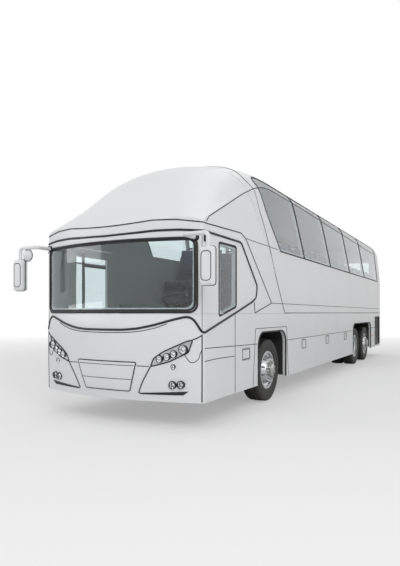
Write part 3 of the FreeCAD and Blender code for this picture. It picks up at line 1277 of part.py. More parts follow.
# Driven axle with its housing, and the tag axle behind it
arm_top = "(axle_height - axle_tube)"
for name, axle_y, inner_end, outer_end in (
        ("drive_axle", "drive_axle_y", "twin_hub_inner", "twin_hub_outer"),
        ("tag_axle", "tag_axle_y", "hub_inner", "hub_outer")):
    centre = (axle_y, "axle_height")
    reach = "(%s - hub_end - bearing_gap)" % outer_end
    tube_end = "(%s - fit_gap)" % inner_end
    pieces = [rod(name + "_tube", "axle_tube", "x", ("-" + tube_end, tube_end), centre),
              rod(name + "_spindle", "spindle_radius", "x", ("-" + reach, reach), centre)]
    if name == "drive_axle":
        pieces.append(rod(name + "_housing", "diff_radius", "x", ("-diff_length / 2", "diff_length / 2"), centre))
        pieces.append(rod("propeller_shaft", "shaft_radius", "y", ("drive_axle_y", "engine_front_y - fit_gap"),
                          ("0", "shaft_height")))
    for side in (1, -1):
        pieces.append(block("%s_arm_%d" % (name, side + 1), sided(side, "rail_inner", "rail_outer"),
                            (axle_y + " - spring_arm", axle_y + " + spring_arm"),
                            (arm_top + " - spring_arm_height", arm_top + " + spring_seat / 2")))
    sub_part(union(name + "_union", pieces), name)

# Air bellows between the axles and the chassis rails
bellows = []
ARM_PLACES = ("spring_radius - spring_arm", "spring_arm - spring_radius")
SPRINGS = (("front", "front_axle_y", low + " + " + half, ("0",)),
           ("drive", "drive_axle_y", arm_top + " + spring_seat / 2", ARM_PLACES),
           ("tag", "tag_axle_y", arm_top + " + spring_seat / 2", ARM_PLACES))
for name, axle_y, foot, shifts in SPRINGS:
    for side in (1, -1):
        for index, shift in enumerate(shifts):
            centre = ("%d * rail_offset" % side, "%s + %s" % (axle_y, shift))
            label = "bellows_%s_%d_%d" % (name, side + 1, index)
            levels = (foot, foot + " + spring_seat", "rail_bottom - spring_seat", "rail_bottom")
            bellows.append(union(label, [
                rod(label + "_foot", "rail_width / 2", "z", levels[:2], centre),
                rod(label + "_bag", "spring_radius", "z", levels[1:3], centre),
                rod(label + "_head", "rail_width / 2", "z", levels[2:], centre)]))
springs = doc.addObject("Part::Compound", "bellows_set")
springs.Links = bellows
sub_part(springs, "air_springs")

# Engine as one block at its real place
mount_low = "rail_bottom + rail_width / 4"
engine = [block("engine_mass", ("-engine_width / 2", "engine_width / 2"),
                ("engine_front_y", "engine_front_y + engine_length"),
                ("engine_bottom", "engine_bottom + engine_height"))]
for index, place in enumerate(("engine_front_y + cross_width",
                               "engine_front_y + engine_length - 2 * cross_width")):
    engine.append(block("engine_mount_%d" % index, ("fit_gap - rail_inner", "rail_inner - fit_gap"),
                        (place, place + " + cross_width"), (mount_low, mount_low + " + rail_width")))
sub_part(union("engine_union", engine), "engine_block")

# Passenger seats in pairs either side of the aisle
pair_width = "2 * seat_width"
seat_low = "seat_top - seat_cushion"
lean = "seat_back * tan(seat_recline)"
cushion = padded("seat_cushions", "YZ_Plane", (
    ("0", seat_low), ("seat_depth", seat_low), ("seat_depth + seat_back_thick", seat_low),
    ("seat_depth + seat_back_thick + " + lean, "seat_top + seat_back"),
    ("seat_depth + " + lean, "seat_top + seat_back"), ("seat_depth", "seat_top"), ("0", "seat_top")), pair_width)
leg = block("seat_leg", ("-seat_leg / 2", "seat_leg / 2"), ("seat_depth / 4", "seat_depth"), ("0", seat_low))
pair = union("seat_pair", [cushion, leg])
doc.recompute()
pair_x = dim.inner_width - dim.seat_gap - dim.seat_width
row_space = dim.seat_depth + dim.seat_back_thick + dim.seat_back * math.tan(math.radians(dim.seat_recline))
last_row_y = dim.tail_y - dim.tail_bulge - 3 * dim.wall - dim.rear_rake - row_space
rows = int((last_row_y - dim.seat_row_y) / dim.seat_pitch) + 1
seats = []
for row in range(rows):
    row_y = dim.seat_row_y + row * dim.seat_pitch
    for side in (1, -1):
        well = (dim.mid_door_y - row_space - 2 * dim.wall, dim.mid_door_y + dim.door_length + 2 * dim.wall)
        if side < 0 and well[0] < row_y < well[1]:
            continue
        seat = pair.Shape.copy()
        seat.translate(Vector(side * pair_x, row_y, dim.floor_height))
        seats.append(seat.Solids[0])
shaped("passenger_seats", Part.makeCompound(seats))
driver_seat = union("driver_seat_union", [
    padded("driver_cushion", "YZ_Plane", (
        ("0", seat_low), ("seat_depth + seat_back_thick", seat_low),
        ("seat_depth + seat_back_thick + " + lean, "seat_top + seat_back"),
        ("seat_depth + " + lean, "seat_top + seat_back"), ("seat_depth", "seat_top"), ("0", "seat_top")),
           "seat_width"),
    block("driver_leg", ("-seat_leg", "seat_leg"), ("seat_depth / 4", "seat_depth"), ("0", seat_low))])
sub_part(placed(driver_seat, "wheel_place", "corner_y + wheel_setback + driver_reach", "cab_floor_height"),
         "driver_seat")

# Dashboard with the steering column, and the steering wheel
dash = padded("dash_body", "YZ_Plane", (
    ("-nose_bulge", "cab_floor_height"), ("dash_foot", "cab_floor_height"), ("dash_foot", "dash_knee"),
    ("dash_depth", "dash_knee + dash_lip"), ("dash_depth", "dash_height - dash_lip"),
    ("dash_depth - dash_lip", "dash_height"), ("-nose_bulge", "dash_height")), "2 * " + edge)
placed(dash, "0", "corner_y", "0")
derive("wheel_y", "corner_y + wheel_setback")


def tilted(obj, x, y, z):
    """Places an object with its Z axis leaning back by the steering wheel's tilt."""
    placed(obj, x, y, z, Rotation(Vector(1, 0, 0), -dim.wheel_tilt))
    obj.setExpression("Placement.Rotation.Angle", linked("-wheel_tilt"))
    return obj


reach = "(column_length + wheel_hub_height + fit_gap)"
column = doc.addObject("Part::Cylinder", "steering_column")
column.setExpression("Radius", linked("column_radius"))
column.setExpression("Height", linked("column_length"))
tilted(column, "wheel_place", "wheel_y - %s * sin(wheel_tilt)" % reach,
       "wheel_height - %s * cos(wheel_tilt)" % reach)
fitted_dash = difference("dash_cut", overlap("dash_fitted", [dash, cabin]), front_hole)
sub_part(union("dash_union", [fitted_dash, column]), "dashboard")

grip = doc.addObject("Part::Torus", "wheel_grip")
grip.setExpression("Radius1", linked("wheel_rim_radius"))
grip.setExpression("Radius2", linked("wheel_rim_section"))
hub = rod("wheel_hub", "wheel_hub", "z", ("-wheel_hub_height", "0"), ("0", "0"))
spokes = [rod("spoke_across", "spoke_radius", "x", ("-wheel_rim_radius", "wheel_rim_radius"),
              ("0", "-wheel_rim_section / 3")),
          rod("spoke_down", "spoke_radius", "y", ("0", "wheel_rim_radius"), ("0", "-wheel_rim_section / 3"))]
sub_part(tilted(union("steering_wheel_union", [grip, hub] + spokes), "wheel_place", "wheel_y", "wheel_height"),
         "steering_wheel")


def arm_path(points, radius):
    """Open wire along points, with an arc at each bend."""
    edges = []
    last = points[0]
    for before, corner, after in zip(points, points[1:], points[2:]):
        back = (before - corner).normalize()
        ahead = (after - corner).normalize()
        half_angle = back.getAngle(ahead) / 2
        cut = radius / math.tan(half_angle)
        centre = corner + (back + ahead).normalize() * (radius / math.sin(half_angle))
        first = corner + back * cut
        final = corner + ahead * cut
        edges.append(Part.makeLine(last, first))
        edges.append(Part.Arc(first, centre + (corner - centre).normalize() * radius, final).toShape())
        last = final
    edges.append(Part.makeLine(last, points[-1]))
    return Part.Wire(edges)


def mirror_shape():
    """Left mirror: an arm from the front corner down to a rounded housing."""
    centre_y = dim.mirror_y + dim.mirror_depth / 2
    half = dim.mirror_width / 2
    housing = cuboid((dim.mirror_offset - half, dim.mirror_offset + half),
                     (dim.mirror_y, dim.mirror_y + dim.mirror_depth), (dim.mirror_bottom, dim.mirror_top))
    housing = housing.makeFillet(dim.mirror_corner, housing.Edges)
    root = Vector(dim.mirror_reach, front_place(dim.mirror_reach, dim.mirror_root_height) + dim.wall,
                  dim.mirror_root_height)
    bend = Vector(dim.mirror_reach, centre_y, dim.mirror_root_height)
    elbow = Vector(dim.mirror_offset, centre_y, dim.mirror_root_height)
    foot = Vector(dim.mirror_offset, centre_y, dim.mirror_top - dim.mirror_corner)
    path = arm_path([root, bend, elbow, foot], 2 * dim.mirror_arm)
    ring = Part.Wire([Part.makeCircle(dim.mirror_arm, root, Vector(0, 1, 0))])
    arm = path.makePipeShell([ring], True, True)
    return arm.cut(outer).fuse(housing).removeSplitter()


left_mirror = mirror_shape()
shaped("mirrors", Part.makeCompound([left_mirror, left_mirror.mirror(Vector(), Vector(1, 0, 0))]))

doc.recompute()
failed = [obj.Name for obj in doc.Objects if "Invalid" in obj.State or "Error" in obj.State]
for obj in sub_parts:
    if obj.Shape.isNull() or not obj.Shape.isValid():
        failed.append(obj.Label)
if failed:
    raise RuntimeError("not built: " + ", ".join(failed))
os.makedirs("parts", exist_ok=True)
for obj in sub_parts:
    obj.Shape.exportStep("parts/%s.step" % obj.Label)
    box = obj.Shape.BoundBox
    print(obj.Label, len(obj.Shape.Solids), round(box.XMin), round(box.XMax), round(box.YMin), round(box.YMax),
          round(box.ZMin), round(box.ZMax))
print(len(sub_parts), "sub-parts")
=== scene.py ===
"""Looks of a three-axle high-deck coach bus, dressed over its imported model."""

import json
import math

import bpy
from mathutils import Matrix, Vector


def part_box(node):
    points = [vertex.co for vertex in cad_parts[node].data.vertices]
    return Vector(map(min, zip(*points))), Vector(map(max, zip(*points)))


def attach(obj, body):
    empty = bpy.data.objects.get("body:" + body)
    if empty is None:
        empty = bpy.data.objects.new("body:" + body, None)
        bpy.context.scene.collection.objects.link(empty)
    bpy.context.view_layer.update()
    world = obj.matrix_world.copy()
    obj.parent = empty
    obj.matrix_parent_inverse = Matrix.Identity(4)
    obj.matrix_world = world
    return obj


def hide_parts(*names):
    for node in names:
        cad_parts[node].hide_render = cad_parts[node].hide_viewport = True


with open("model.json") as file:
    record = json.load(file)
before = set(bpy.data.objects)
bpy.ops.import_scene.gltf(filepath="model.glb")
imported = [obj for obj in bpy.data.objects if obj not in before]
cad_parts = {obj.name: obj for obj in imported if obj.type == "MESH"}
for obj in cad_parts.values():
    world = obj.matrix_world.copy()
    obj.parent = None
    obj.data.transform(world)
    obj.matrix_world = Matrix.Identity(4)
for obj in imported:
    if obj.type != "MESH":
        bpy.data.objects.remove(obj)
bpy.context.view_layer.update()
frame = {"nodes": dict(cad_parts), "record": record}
nodes = frame["nodes"]

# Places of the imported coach. Lengths along a side count back from the front corner.
BODY_SIDE = 1.275
AXLE_Z = 0.5
FLOOR_Z = 1.56
BELT_Z = 1.41
SILL_Z = 0.345
SKIRT_LINE_Z = 0.95
CORNER_Y = -6.255
TAIL_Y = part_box("tail")[1].y
HUB = {axle: (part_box("tyre_%s_left" % axle)[0].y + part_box("tyre_%s_left" % axle)[1].y) / 2
       for axle in ("front", "drive", "tag")}
PANE_SILL_Z, PANE_TOP_Z = 2.447, 3.555
PANE_START, PANE_PITCH, BAND_END = 4.08, 1.96, 12.143
FLAP_FRONTS = {"left": (3.168, 4.898, 6.628), "right": (3.168, 4.898)}
FLAP_LENGTH = 1.724
DOOR_FRONTS = {"front_door": 0.4, "mid_door": 6.79}
MIRROR_X = 1.5
SIDES = (("left", 1), ("right", -1))
HANDS = (1, -1)

# Bulge of the front and the tail between their corners, and lean of the walls over the pane sill
FRONT_BULGE, TAIL_BULGE, LEAN_START_Z, WALL_LEAN = 0.3, 0.08, 2.45, 0.105

# Planes that trim is pressed from, and the way in from beside each wall
AHEAD_Y, BEHIND_Y, BESIDE_X = -7.2, 7.2, 1.6
INWARD = {1: "-x", -1: "+x"}

# Half the thickness of the dark edge printed on glass, and a spacing that leaves a line's edges whole
FRIT = 0.0015
WHOLE = 9

# Camera of the drawing
CAMERA_PLACE = (4.132, -11.596, 1.424)
CAMERA_TURN = 29.23
SENSOR_WIDTH = 36
FOCAL_SHARE = 504.4 / 566
SHIFT_SHARE = (5.9 / 566, 29.6 / 566)

# Strength of the even light from all round
SURROUND_LEVEL = 0.48


def deselect():
    bpy.ops.object.select_all(action="DESELECT")


def pick(piece):
    """Makes one piece the only selected and the active one."""
    deselect()
    piece.select_set(True)
    bpy.context.view_layer.objects.active = piece


def open_all(kind=None):
    """Starts edit mode, by one kind of element if given, with all of the active mesh selected."""
    bpy.ops.object.mode_set(mode="EDIT")
    if kind:
        bpy.ops.mesh.select_mode(type=kind)
    bpy.ops.mesh.select_all(action="SELECT")


def leave_edit():
    bpy.ops.object.mode_set(mode="OBJECT")


def settle(piece):
    """Puts a piece's place and turn into its mesh."""
    pick(piece)
    bpy.ops.object.transform_apply(location=True, rotation=True, scale=True)
    return piece


def put(data, place, turn):
    """New camera or lamp in the scene, named like its data."""
    thing = bpy.data.objects.new(data.name, data)
    thing.location = place
    thing.rotation_euler = turn
    bpy.context.scene.collection.objects.link(thing)
    return thing


def add_camera():
    data = bpy.data.cameras.new("coach_camera")
    data.sensor_width = SENSOR_WIDTH
    data.lens = SENSOR_WIDTH * FOCAL_SHARE
    data.shift_x, data.shift_y = SHIFT_SHARE
    data.clip_end = 200
    bpy.context.scene.camera = put(data, CAMERA_PLACE, (math.pi / 2, 0, math.radians(CAMERA_TURN)))


def add_softbox(name, place, aim, size, power):
    data = bpy.data.lights.new(name, "AREA")
    data.shape = "RECTANGLE"
    data.size, data.size_y = size
    data.energy = power
    put(data, place, (Vector(aim) - Vector(place)).to_track_quat("-Z", "Y").to_euler())


def add_node(tree, kind, inputs, **settings):
    """Shader node whose inputs take plain values, sockets, or the first output of another node."""
    node = tree.nodes.new("ShaderNode" + kind)
    for setting, value in settings.items():
        setattr(node, setting, value)
    for socket, given in inputs.items():
        if isinstance(given, bpy.types.Node):
            given = given.outputs[0]
        if isinstance(given, bpy.types.NodeSocket):
            tree.links.new(given, node.inputs[socket])
        else:
            node.inputs[socket].default_value = given
    return node


def new_group(name, given, results):
    """Shader node group with named inputs and outputs."""
    group = bpy.data.node_groups.new(name, "ShaderNodeTree")
    for way, sockets in (("INPUT", given), ("OUTPUT", results)):
        for label, kind in sockets.items():
            group.interface.new_socket(name=label, in_out=way, socket_type="NodeSocket" + kind)
    return group, group.nodes.new("NodeGroupInput").outputs, group.nodes.new("NodeGroupOutput").inputs


def grain_group():
    """Patchy colour, uneven gloss and fine grain that the coach's finishes share.

    The colour has the largest pattern and the bump the finest, at the grain's own scale.
    """
    group, given, result = new_group(
        "surface_grain",
        {"Place": "Vector", "Grain": "Float", "Dark": "Color", "Light": "Color", "Smooth": "Float",
         "Rough": "Float"},
        {"Colour": "Color", "Roughness": "Float", "Height": "Float"})
    fields = []
    for share, detail in ((1 / 12, 3), (1 / 5, 3), (1, 2)):
        scale = add_node(group, "Math", {0: given["Grain"], 1: share}, operation="MULTIPLY")
        fields.append(add_node(group, "TexNoise", {"Vector": given["Place"], "Scale": scale, "Detail": detail}))
    patches = add_node(group, "MapRange", {"Value": fields[0], "From Min": 0.35, "From Max": 0.65})
    tint = add_node(group, "Mix", {0: patches, 6: given["Dark"], 7: given["Light"]}, data_type="RGBA")
    gloss = add_node(group, "MapRange", {"Value": fields[1], "To Min": given["Smooth"],
                                         "To Max": given["Rough"]})
    group.links.new(tint.outputs[2], result["Colour"])
    group.links.new(gloss.outputs[0], result["Roughness"])
    group.links.new(fields[2].outputs[0], result["Height"])
    return group


def dust_group():
    """Road dust that thins out with height above the road."""
    group, given, result = new_group(
        "road_dust", {"Place": "Vector", "Colour": "Color", "Amount": "Float", "Top": "Float"},
        {"Colour": "Color"})
    height = add_node(group, "SeparateXYZ", {"Vector": given["Place"]}).outputs["Z"]
    fade = add_node(group, "MapRange", {"Value": height, "From Max": given["Top"], "To Min": 1, "To Max": 0})
    noise = add_node(group, "TexNoise", {"Vector": given["Place"], "Scale": 7})
    cover = add_node(group, "Math", {0: fade, 1: noise}, operation="MULTIPLY")
    share = add_node(group, "Math", {0: cover, 1: given["Amount"]}, operation="MULTIPLY")
    tint = add_node(group, "Mix", {0: share, 6: given["Colour"], 7: DUST_COLOUR}, data_type="RGBA")
    group.links.new(tint.outputs[2], result["Colour"])
    return group


DUST_COLOUR = (0.2, 0.18, 0.155, 1)
DUST_TOP_Z = 1.3
GRAIN = grain_group()
DUST = dust_group()


def moulded(name, colour, smooth, rough, grain, depth, metallic=0.0, contrast=0.12, dust=0.0, **constants):
    """Painted, moulded or cast finish: shared grain, a bump of the given depth and, low down, road dust."""
    material = bpy.data.materials.new(name)
    material.use_nodes = True
    tree = material.node_tree
    shader = tree.nodes["Principled BSDF"]
    shader.inputs["Metallic"].default_value = metallic
    for socket, value in constants.items():
        shader.inputs[socket.replace("_", " ")].default_value = value
    place = add_node(tree, "TexCoord", {}).outputs["Object"]
    dark = (*[part * (1 - contrast) for part in colour], 1)
    light = (*[min(1, part * (1 + contrast)) for part in colour], 1)
    surface = add_node(tree, "Group", {"Place": place, "Grain": grain, "Dark": dark, "Light": light,
                                       "Smooth": smooth, "Rough": rough}, node_tree=GRAIN)
    tree.links.new(surface.outputs["Roughness"], shader.inputs["Roughness"])
    shown = surface.outputs["Colour"]
    if dust:
        shown = add_node(tree, "Group", {"Place": place, "Colour": shown, "Amount": dust, "Top": DUST_TOP_Z},
                         node_tree=DUST).outputs["Colour"]
    tree.links.new(shown, shader.inputs["Base Color"])
    if depth:
        height = surface.outputs["Height"]
        bump = add_node(tree, "Bump", {"Strength": 0.25, "Distance": depth, "Height": height})
        tree.links.new(bump.outputs["Normal"], shader.inputs["Normal"])
    return material


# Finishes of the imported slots, then of added pieces: colour, two ends of the roughness, grain, bump depth
FINISHES = {
    "body_paint": moulded("white_coach_paint", (0.8, 0.81, 0.82), 0.32, 0.42, 11, 0, contrast=0.015,
                          Coat_Weight=0.2, Coat_Roughness=0.2),
    "glass": moulded("tinted_glass", (0.8, 0.87, 0.88), 0.0, 0.03, 15, 0, contrast=0.01, IOR=1.45,
                     Transmission_Weight=1.0),
    "lamp": moulded("lamp_housing", (0.6, 0.62, 0.64), 0.12, 0.2, 60, 0, 0.5, Coat_Weight=0.8),
    "tail_lamp": moulded("red_lens", (0.45, 0.02, 0.02), 0.08, 0.14, 60, 0, Coat_Weight=0.8),
    "dark_trim": moulded("dark_plastic", (0.022, 0.022, 0.024), 0.38, 0.5, 900, 0.0004, dust=0.25),
    "chassis": moulded("chassis_paint", (0.035, 0.035, 0.038), 0.42, 0.6, 300, 0.0005, dust=0.6),
    "hold_lining": moulded("hold_lining", (0.34, 0.34, 0.35), 0.6, 0.8, 500, 0.0006),
    "floor_lining": moulded("floor_covering", (0.3, 0.31, 0.32), 0.6, 0.8, 700, 0.0006),
    "cast": moulded("cast_iron", (0.09, 0.088, 0.085), 0.5, 0.7, 350, 0.0008, 0.5, dust=0.6),
    "bellows": moulded("bellows_rubber", (0.018, 0.018, 0.018), 0.55, 0.7, 500, 0.0005, dust=0.5),
    "upholstery": moulded("seat_fabric", (0.1, 0.13, 0.2), 0.75, 0.9, 1500, 0.0008, Sheen_Weight=0.4),
    "tyre": moulded("tyre_rubber", (0.02, 0.02, 0.02), 0.55, 0.75, 600, 0.0006, dust=0.2),
    "rim": moulded("rim_alloy", (0.66, 0.67, 0.68), 0.22, 0.34, 200, 0.0002, 0.85, contrast=0.05),
    "gasket": moulded("gasket_rubber", (0.01, 0.01, 0.011), 0.45, 0.6, 700, 0.0003),
    "seam": moulded("seam_sealant", (0.022, 0.022, 0.023), 0.55, 0.7, 700, 0.0002),
    "steel": moulded("plated_steel", (0.48, 0.48, 0.47), 0.22, 0.36, 400, 0.0003, 0.9),
    "chrome": moulded("reflector_chrome", (0.78, 0.79, 0.8), 0.04, 0.1, 90, 0, 1.0, contrast=0.03),
    "lens": moulded("clear_lens", (0.97, 0.98, 0.98), 0.0, 0.02, 30, 0, contrast=0.01, IOR=1.45,
                    Transmission_Weight=1.0),
    "amber": moulded("amber_lens", (0.8, 0.28, 0.02), 0.08, 0.14, 60, 0, Coat_Weight=0.8),
    "plate": moulded("blank_plate", (0.72, 0.72, 0.7), 0.3, 0.4, 80, 0, contrast=0.03),
    "shell": moulded("seat_shell", (0.07, 0.07, 0.075), 0.45, 0.6, 800, 0.0004),
    "driver_cloth": moulded("driver_cloth", (0.06, 0.06, 0.065), 0.75, 0.9, 1500, 0.0008, Sheen_Weight=0.3),
}
# Slots of the finishes that don't bear a slot's own name
SLOTS = {
    "gasket": "dark_trim", "seam": "dark_trim", "shell": "dark_trim", "steel": "dark_trim", "chrome": "lamp",
    "amber": "lamp", "lens": "glass", "plate": "body_paint", "driver_cloth": "upholstery"}
for row in frame["record"]["subparts"]:
    piece = nodes[row["node"]]
    piece.data.materials.clear()
    piece.data.materials.append(FINISHES[row["material_slot"]])


def add_stage():
    """White floor that fades into a white surround and keeps the coach's soft shadow."""
    deselect()
    bpy.ops.mesh.primitive_plane_add(size=160, location=(0, 0, 0))
    floor = bpy.context.object
    floor.name = "studio_floor"
    material = bpy.data.materials.new("studio_floor")
    material.use_nodes = True
    tree = material.node_tree
    shader = tree.nodes["Principled BSDF"]
    shader.inputs["Base Color"].default_value = (0.86, 0.86, 0.86, 1)
    shader.inputs["Roughness"].default_value = 0.9
    place = add_node(tree, "TexCoord", {}).outputs["Object"]
    away = add_node(tree, "VectorMath", {0: place}, operation="LENGTH").outputs["Value"]
    fade = add_node(tree, "MapRange", {"Value": away, "From Min": 6, "From Max": 22, "To Min": 0.35})
    rays = add_node(tree, "LightPath", {}).outputs
    seen = add_node(tree, "Math", {0: fade, 1: rays["Is Camera Ray"]}, operation="MULTIPLY")
    glow = add_node(tree, "Emission", {"Color": (1, 1, 1, 1), "Strength": 1})
    mix = add_node(tree, "MixShader", {"Fac": seen, 1: shader, 2: glow})
    tree.links.new(mix.outputs["Shader"], tree.nodes["Material Output"].inputs["Surface"])
    floor.data.materials.append(material)


def add_surround():
    """Even white light. The camera, reflections and glass see plain white."""
    world = bpy.data.worlds.new("studio_surround")
    bpy.context.scene.world = world
    world.use_nodes = True
    tree = world.node_tree
    light = tree.nodes["Background"]
    light.inputs["Color"].default_value = (1, 1, 1, 1)
    light.inputs["Strength"].default_value = SURROUND_LEVEL
    white = add_node(tree, "Background", {"Color": (1, 1, 1, 1)})
    rays = add_node(tree, "LightPath", {}).outputs
    glossy = add_node(tree, "Math", {0: rays["Is Camera Ray"], 1: rays["Is Glossy Ray"]}, operation="MAXIMUM")
    through = add_node(tree, "Math", {0: glossy, 1: rays["Is Transmission Ray"]}, operation="MAXIMUM")
    mix = add_node(tree, "MixShader", {"Fac": through, 1: light, 2: white})
    tree.links.new(mix.outputs["Shader"], tree.nodes["World Output"].inputs["Surface"])


def finish_piece(piece, finish, body="body", slot=None, smooth=40):
    """Gives a finished piece its place in its mesh, its material and its body; its slot argument is not used.
    """
    slot = slot or SLOTS.get(finish, finish)
    settle(piece)
    bpy.ops.object.shade_smooth_by_angle(angle=math.radians(smooth))
    piece.data.materials.clear()
    piece.data.materials.append(FINISHES[finish])
    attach(piece, body)
    return piece


def join(name, pieces):
    """One mesh from several pieces."""
    deselect()
    for piece in pieces:
        piece.select_set(True)
    bpy.context.view_layer.objects.active = pieces[0]
    if len(pieces) > 1:
        bpy.ops.object.join()
    pieces[0].name = name
    return pieces[0]


def apply_modifiers(piece):
    pick(piece)
    for modifier in list(piece.modifiers):
        bpy.ops.object.modifier_apply(modifier=modifier.name)


def discard(*pieces):
    for piece in pieces:
        bpy.data.objects.remove(piece)


def edge_bevel(piece, width, segments=2):
    bevel = piece.modifiers.new("edge", "BEVEL")
    bevel.width = width
    bevel.segments = segments
    bevel.limit_method = "ANGLE"
    apply_modifiers(piece)


def rounded_block(name, low, high, width):
    """Block between two corners with rounded edges."""
    deselect()
    middle = [(a + b) / 2 for a, b in zip(low, high)]
    size = [b - a for a, b in zip(low, high)]
    bpy.ops.mesh.primitive_cube_add(size=1, location=middle, scale=size)
    block = bpy.context.object
    block.name = name
    settle(block)
    edge_bevel(block, width, 3)
    return block


def panel_skin(name, members):
    """Copy of some panels in one mesh, which trim is pressed onto."""
    copies = []
    for member in members:
        copy = nodes[member].copy()
        copy.data = copy.data.copy()
        copy.parent = None
        bpy.context.scene.collection.objects.link(copy)
        copies.append(copy)
    return join(name, copies)


def wire(name, places, closed=False, curved=False, rounding=0.0, spacing=0.05):
    """Line of edges through some places, drawn by extruding one point."""
    deselect()
    bpy.ops.mesh.primitive_plane_add(size=0.01, location=places[0])
    line = bpy.context.object
    line.name = name
    open_all("VERT")
    bpy.ops.mesh.merge(type="CENTER")
    stops = list(places) + ([places[0]] if closed else [])
    for before, after in zip(stops, stops[1:]):
        step = Vector(after) - Vector(before)
        bpy.ops.mesh.extrude_region_move(TRANSFORM_OT_translate={"value": step})
    bpy.ops.mesh.select_all(action="SELECT")
    if closed:
        bpy.ops.mesh.remove_doubles(threshold=0.0005)
    if rounding:
        bpy.ops.mesh.bevel(affect="VERTICES", offset=rounding, segments=6)
    leave_edit()
    if curved:
        bpy.ops.object.convert(target="CURVE")
        bpy.ops.object.mode_set(mode="EDIT")
        bpy.ops.curve.select_all(action="SELECT")
        bpy.ops.curve.spline_type_set(type="BEZIER")
        bpy.ops.curve.handle_type_set(type="AUTOMATIC")
        leave_edit()
        bpy.ops.object.convert(target="MESH")
    while True:
        for edge in line.data.edges:
            first, last = (line.data.vertices[index].co for index in edge.vertices)
            edge.select = (first - last).length > spacing
        if not any(edge.select for edge in line.data.edges):
            return settle(line)
        bpy.ops.object.mode_set(mode="EDIT")
        bpy.ops.mesh.select_mode(type="EDGE")
        bpy.ops.mesh.subdivide(number_cuts=1)
        bpy.ops.mesh.select_mode(type="VERT")
        bpy.ops.mesh.select_all(action="DESELECT")
        leave_edit()


def press_onto(piece, toward=None, skin=None):
    """Presses a piece onto the shell, or onto another skin.

    It goes along one axis with its sign first, then to the nearest place, as over a gap.
    """
    skin = SHELL if skin is None else skin
    if toward:
        press = piece.modifiers.new("press", "SHRINKWRAP")
        press.target = skin
        press.wrap_method = "PROJECT"
        press.use_project_x = "x" in toward
        press.use_project_y = "y" in toward
        press.use_positive_direction = toward[0] == "+"
        press.use_negative_direction = toward[0] == "-"
    close = piece.modifiers.new("close", "SHRINKWRAP")
    close.target = skin
    close.wrap_method = "NEAREST_SURFACEPOINT"
    apply_modifiers(piece)


def bead(name, lines, radius, body="body", finish="gasket", toward=None, skin=None, **shape):
    """Round beads of rubber or trim pressed onto the panels along some lines."""
    line = join(name, [wire(name, places, **shape) for places in lines])
    press_onto(line, toward, skin)
    pick(line)
    bpy.ops.object.convert(target="CURVE")
    line = bpy.context.object
    line.data.bevel_depth = radius
    line.data.bevel_resolution = 1
    line.data.use_fill_caps = True
    bpy.ops.object.convert(target="MESH")
    return finish_piece(bpy.context.object, finish, body)


def seam(name, lines, radius=0.005, body="body", **shape):
    """Beads of sealant, as in a joint or a fold of the panels."""
    return bead(name, lines, radius, body, "seam", **shape)


def fitted_plate(name, places, thickness, toward, rounding=0.0, pitch=0.0, band=0.0, rise=0.0, skin=None):
    """Thin plate with a drawn outline, cut at a pitch and pressed onto a panel from outside.

    Its cuts go up by the rise where one is given. With a band it is only a frame of that width inside its
    outline.
    """
    plate = wire(name, places, closed=True, rounding=rounding, spacing=0.12 if band else WHOLE)
    corners = [vertex.co.copy() for vertex in plate.data.vertices]
    open_all()
    bpy.ops.mesh.edge_face_add()
    if band:
        bpy.ops.mesh.select_mode(type="FACE")
        bpy.ops.mesh.inset(thickness=band)
        bpy.ops.mesh.delete(type="FACE")
    for axis, step in ((0, pitch), (1, pitch), (2, rise or pitch)) if pitch else ():
        low, high = min(corner[axis] for corner in corners), max(corner[axis] for corner in corners)
        for number in range(1, math.ceil((high - low) / step)):
            cut = [0, 0, 0]
            cut[axis] = low + step * number
            bpy.ops.mesh.select_all(action="SELECT")
            bpy.ops.mesh.bisect(plane_co=cut, plane_no=[float(part != 0) for part in cut])
    leave_edit()
    press_onto(plate, toward, skin)
    wall = plate.modifiers.new("wall", "SOLIDIFY")
    wall.thickness = 2 * thickness
    wall.offset = 0
    apply_modifiers(plate)
    open_all()
    bpy.ops.mesh.normals_make_consistent(inside=False)
    leave_edit()
    edge_bevel(plate, thickness / 2)
    return plate


def add_plate(name, places, thickness, toward, finish="gasket", body="body", **shape):
    """Fitted plate with its finish, on its body."""
    return finish_piece(fitted_plate(name, places, thickness, toward, **shape), finish, body)


def front(x, z):
    """Place near the front surface."""
    return (x, CORNER_Y - FRONT_BULGE * (1 - (x / BODY_SIDE) ** 2), z)


def side(back, z, hand=1):
    """Place near a side wall, back from the front corner."""
    lean = max(0, z - LEAN_START_Z) * WALL_LEAN
    return (hand * (BODY_SIDE - lean), CORNER_Y + back, z)


def rear(x, z):
    """Place near the tail's surface."""
    return (x, TAIL_Y - TAIL_BULGE * (x / BODY_SIDE) ** 2, z)


def on_front(points, step=0.11):
    """Places along the curved front, close enough together to follow it."""
    places = [front(*points[0])]
    for (x, z), (next_x, next_z) in zip(points, points[1:]):
        count = max(1, round(math.hypot(next_x - x, next_z - z) / step))
        for number in range(1, count + 1):
            share = number / count
            places.append(front(x + (next_x - x) * share, z + (next_z - z) * share))
    return places


def ahead(points, hand=1, y=AHEAD_Y):
    """Places in a flat plane ahead of the front, to be pressed onto it."""
    return [(hand * x, y, z) for x, z in points]


def behind(points):
    """Places in a flat plane behind the tail, to be pressed onto it."""
    return ahead(points, y=BEHIND_Y)


def on_side(points, hand=1):
    return [side(back, z, hand) for back, z in points]


def beside(points, hand=1):
    """Places in a flat plane beside a wall, to be pressed onto it."""
    return [(hand * BESIDE_X, CORNER_Y + back, z) for back, z in points]


def across(points):
    """Half outline from the middle outwards, run from the right corner to the left one."""
    return [(-x, z) for x, z in reversed(points) if x] + points


def rectangle(low_a, high_a, low_b, high_b):
    return [(low_a, low_b), (high_a, low_b), (high_a, high_b), (low_a, high_b)]


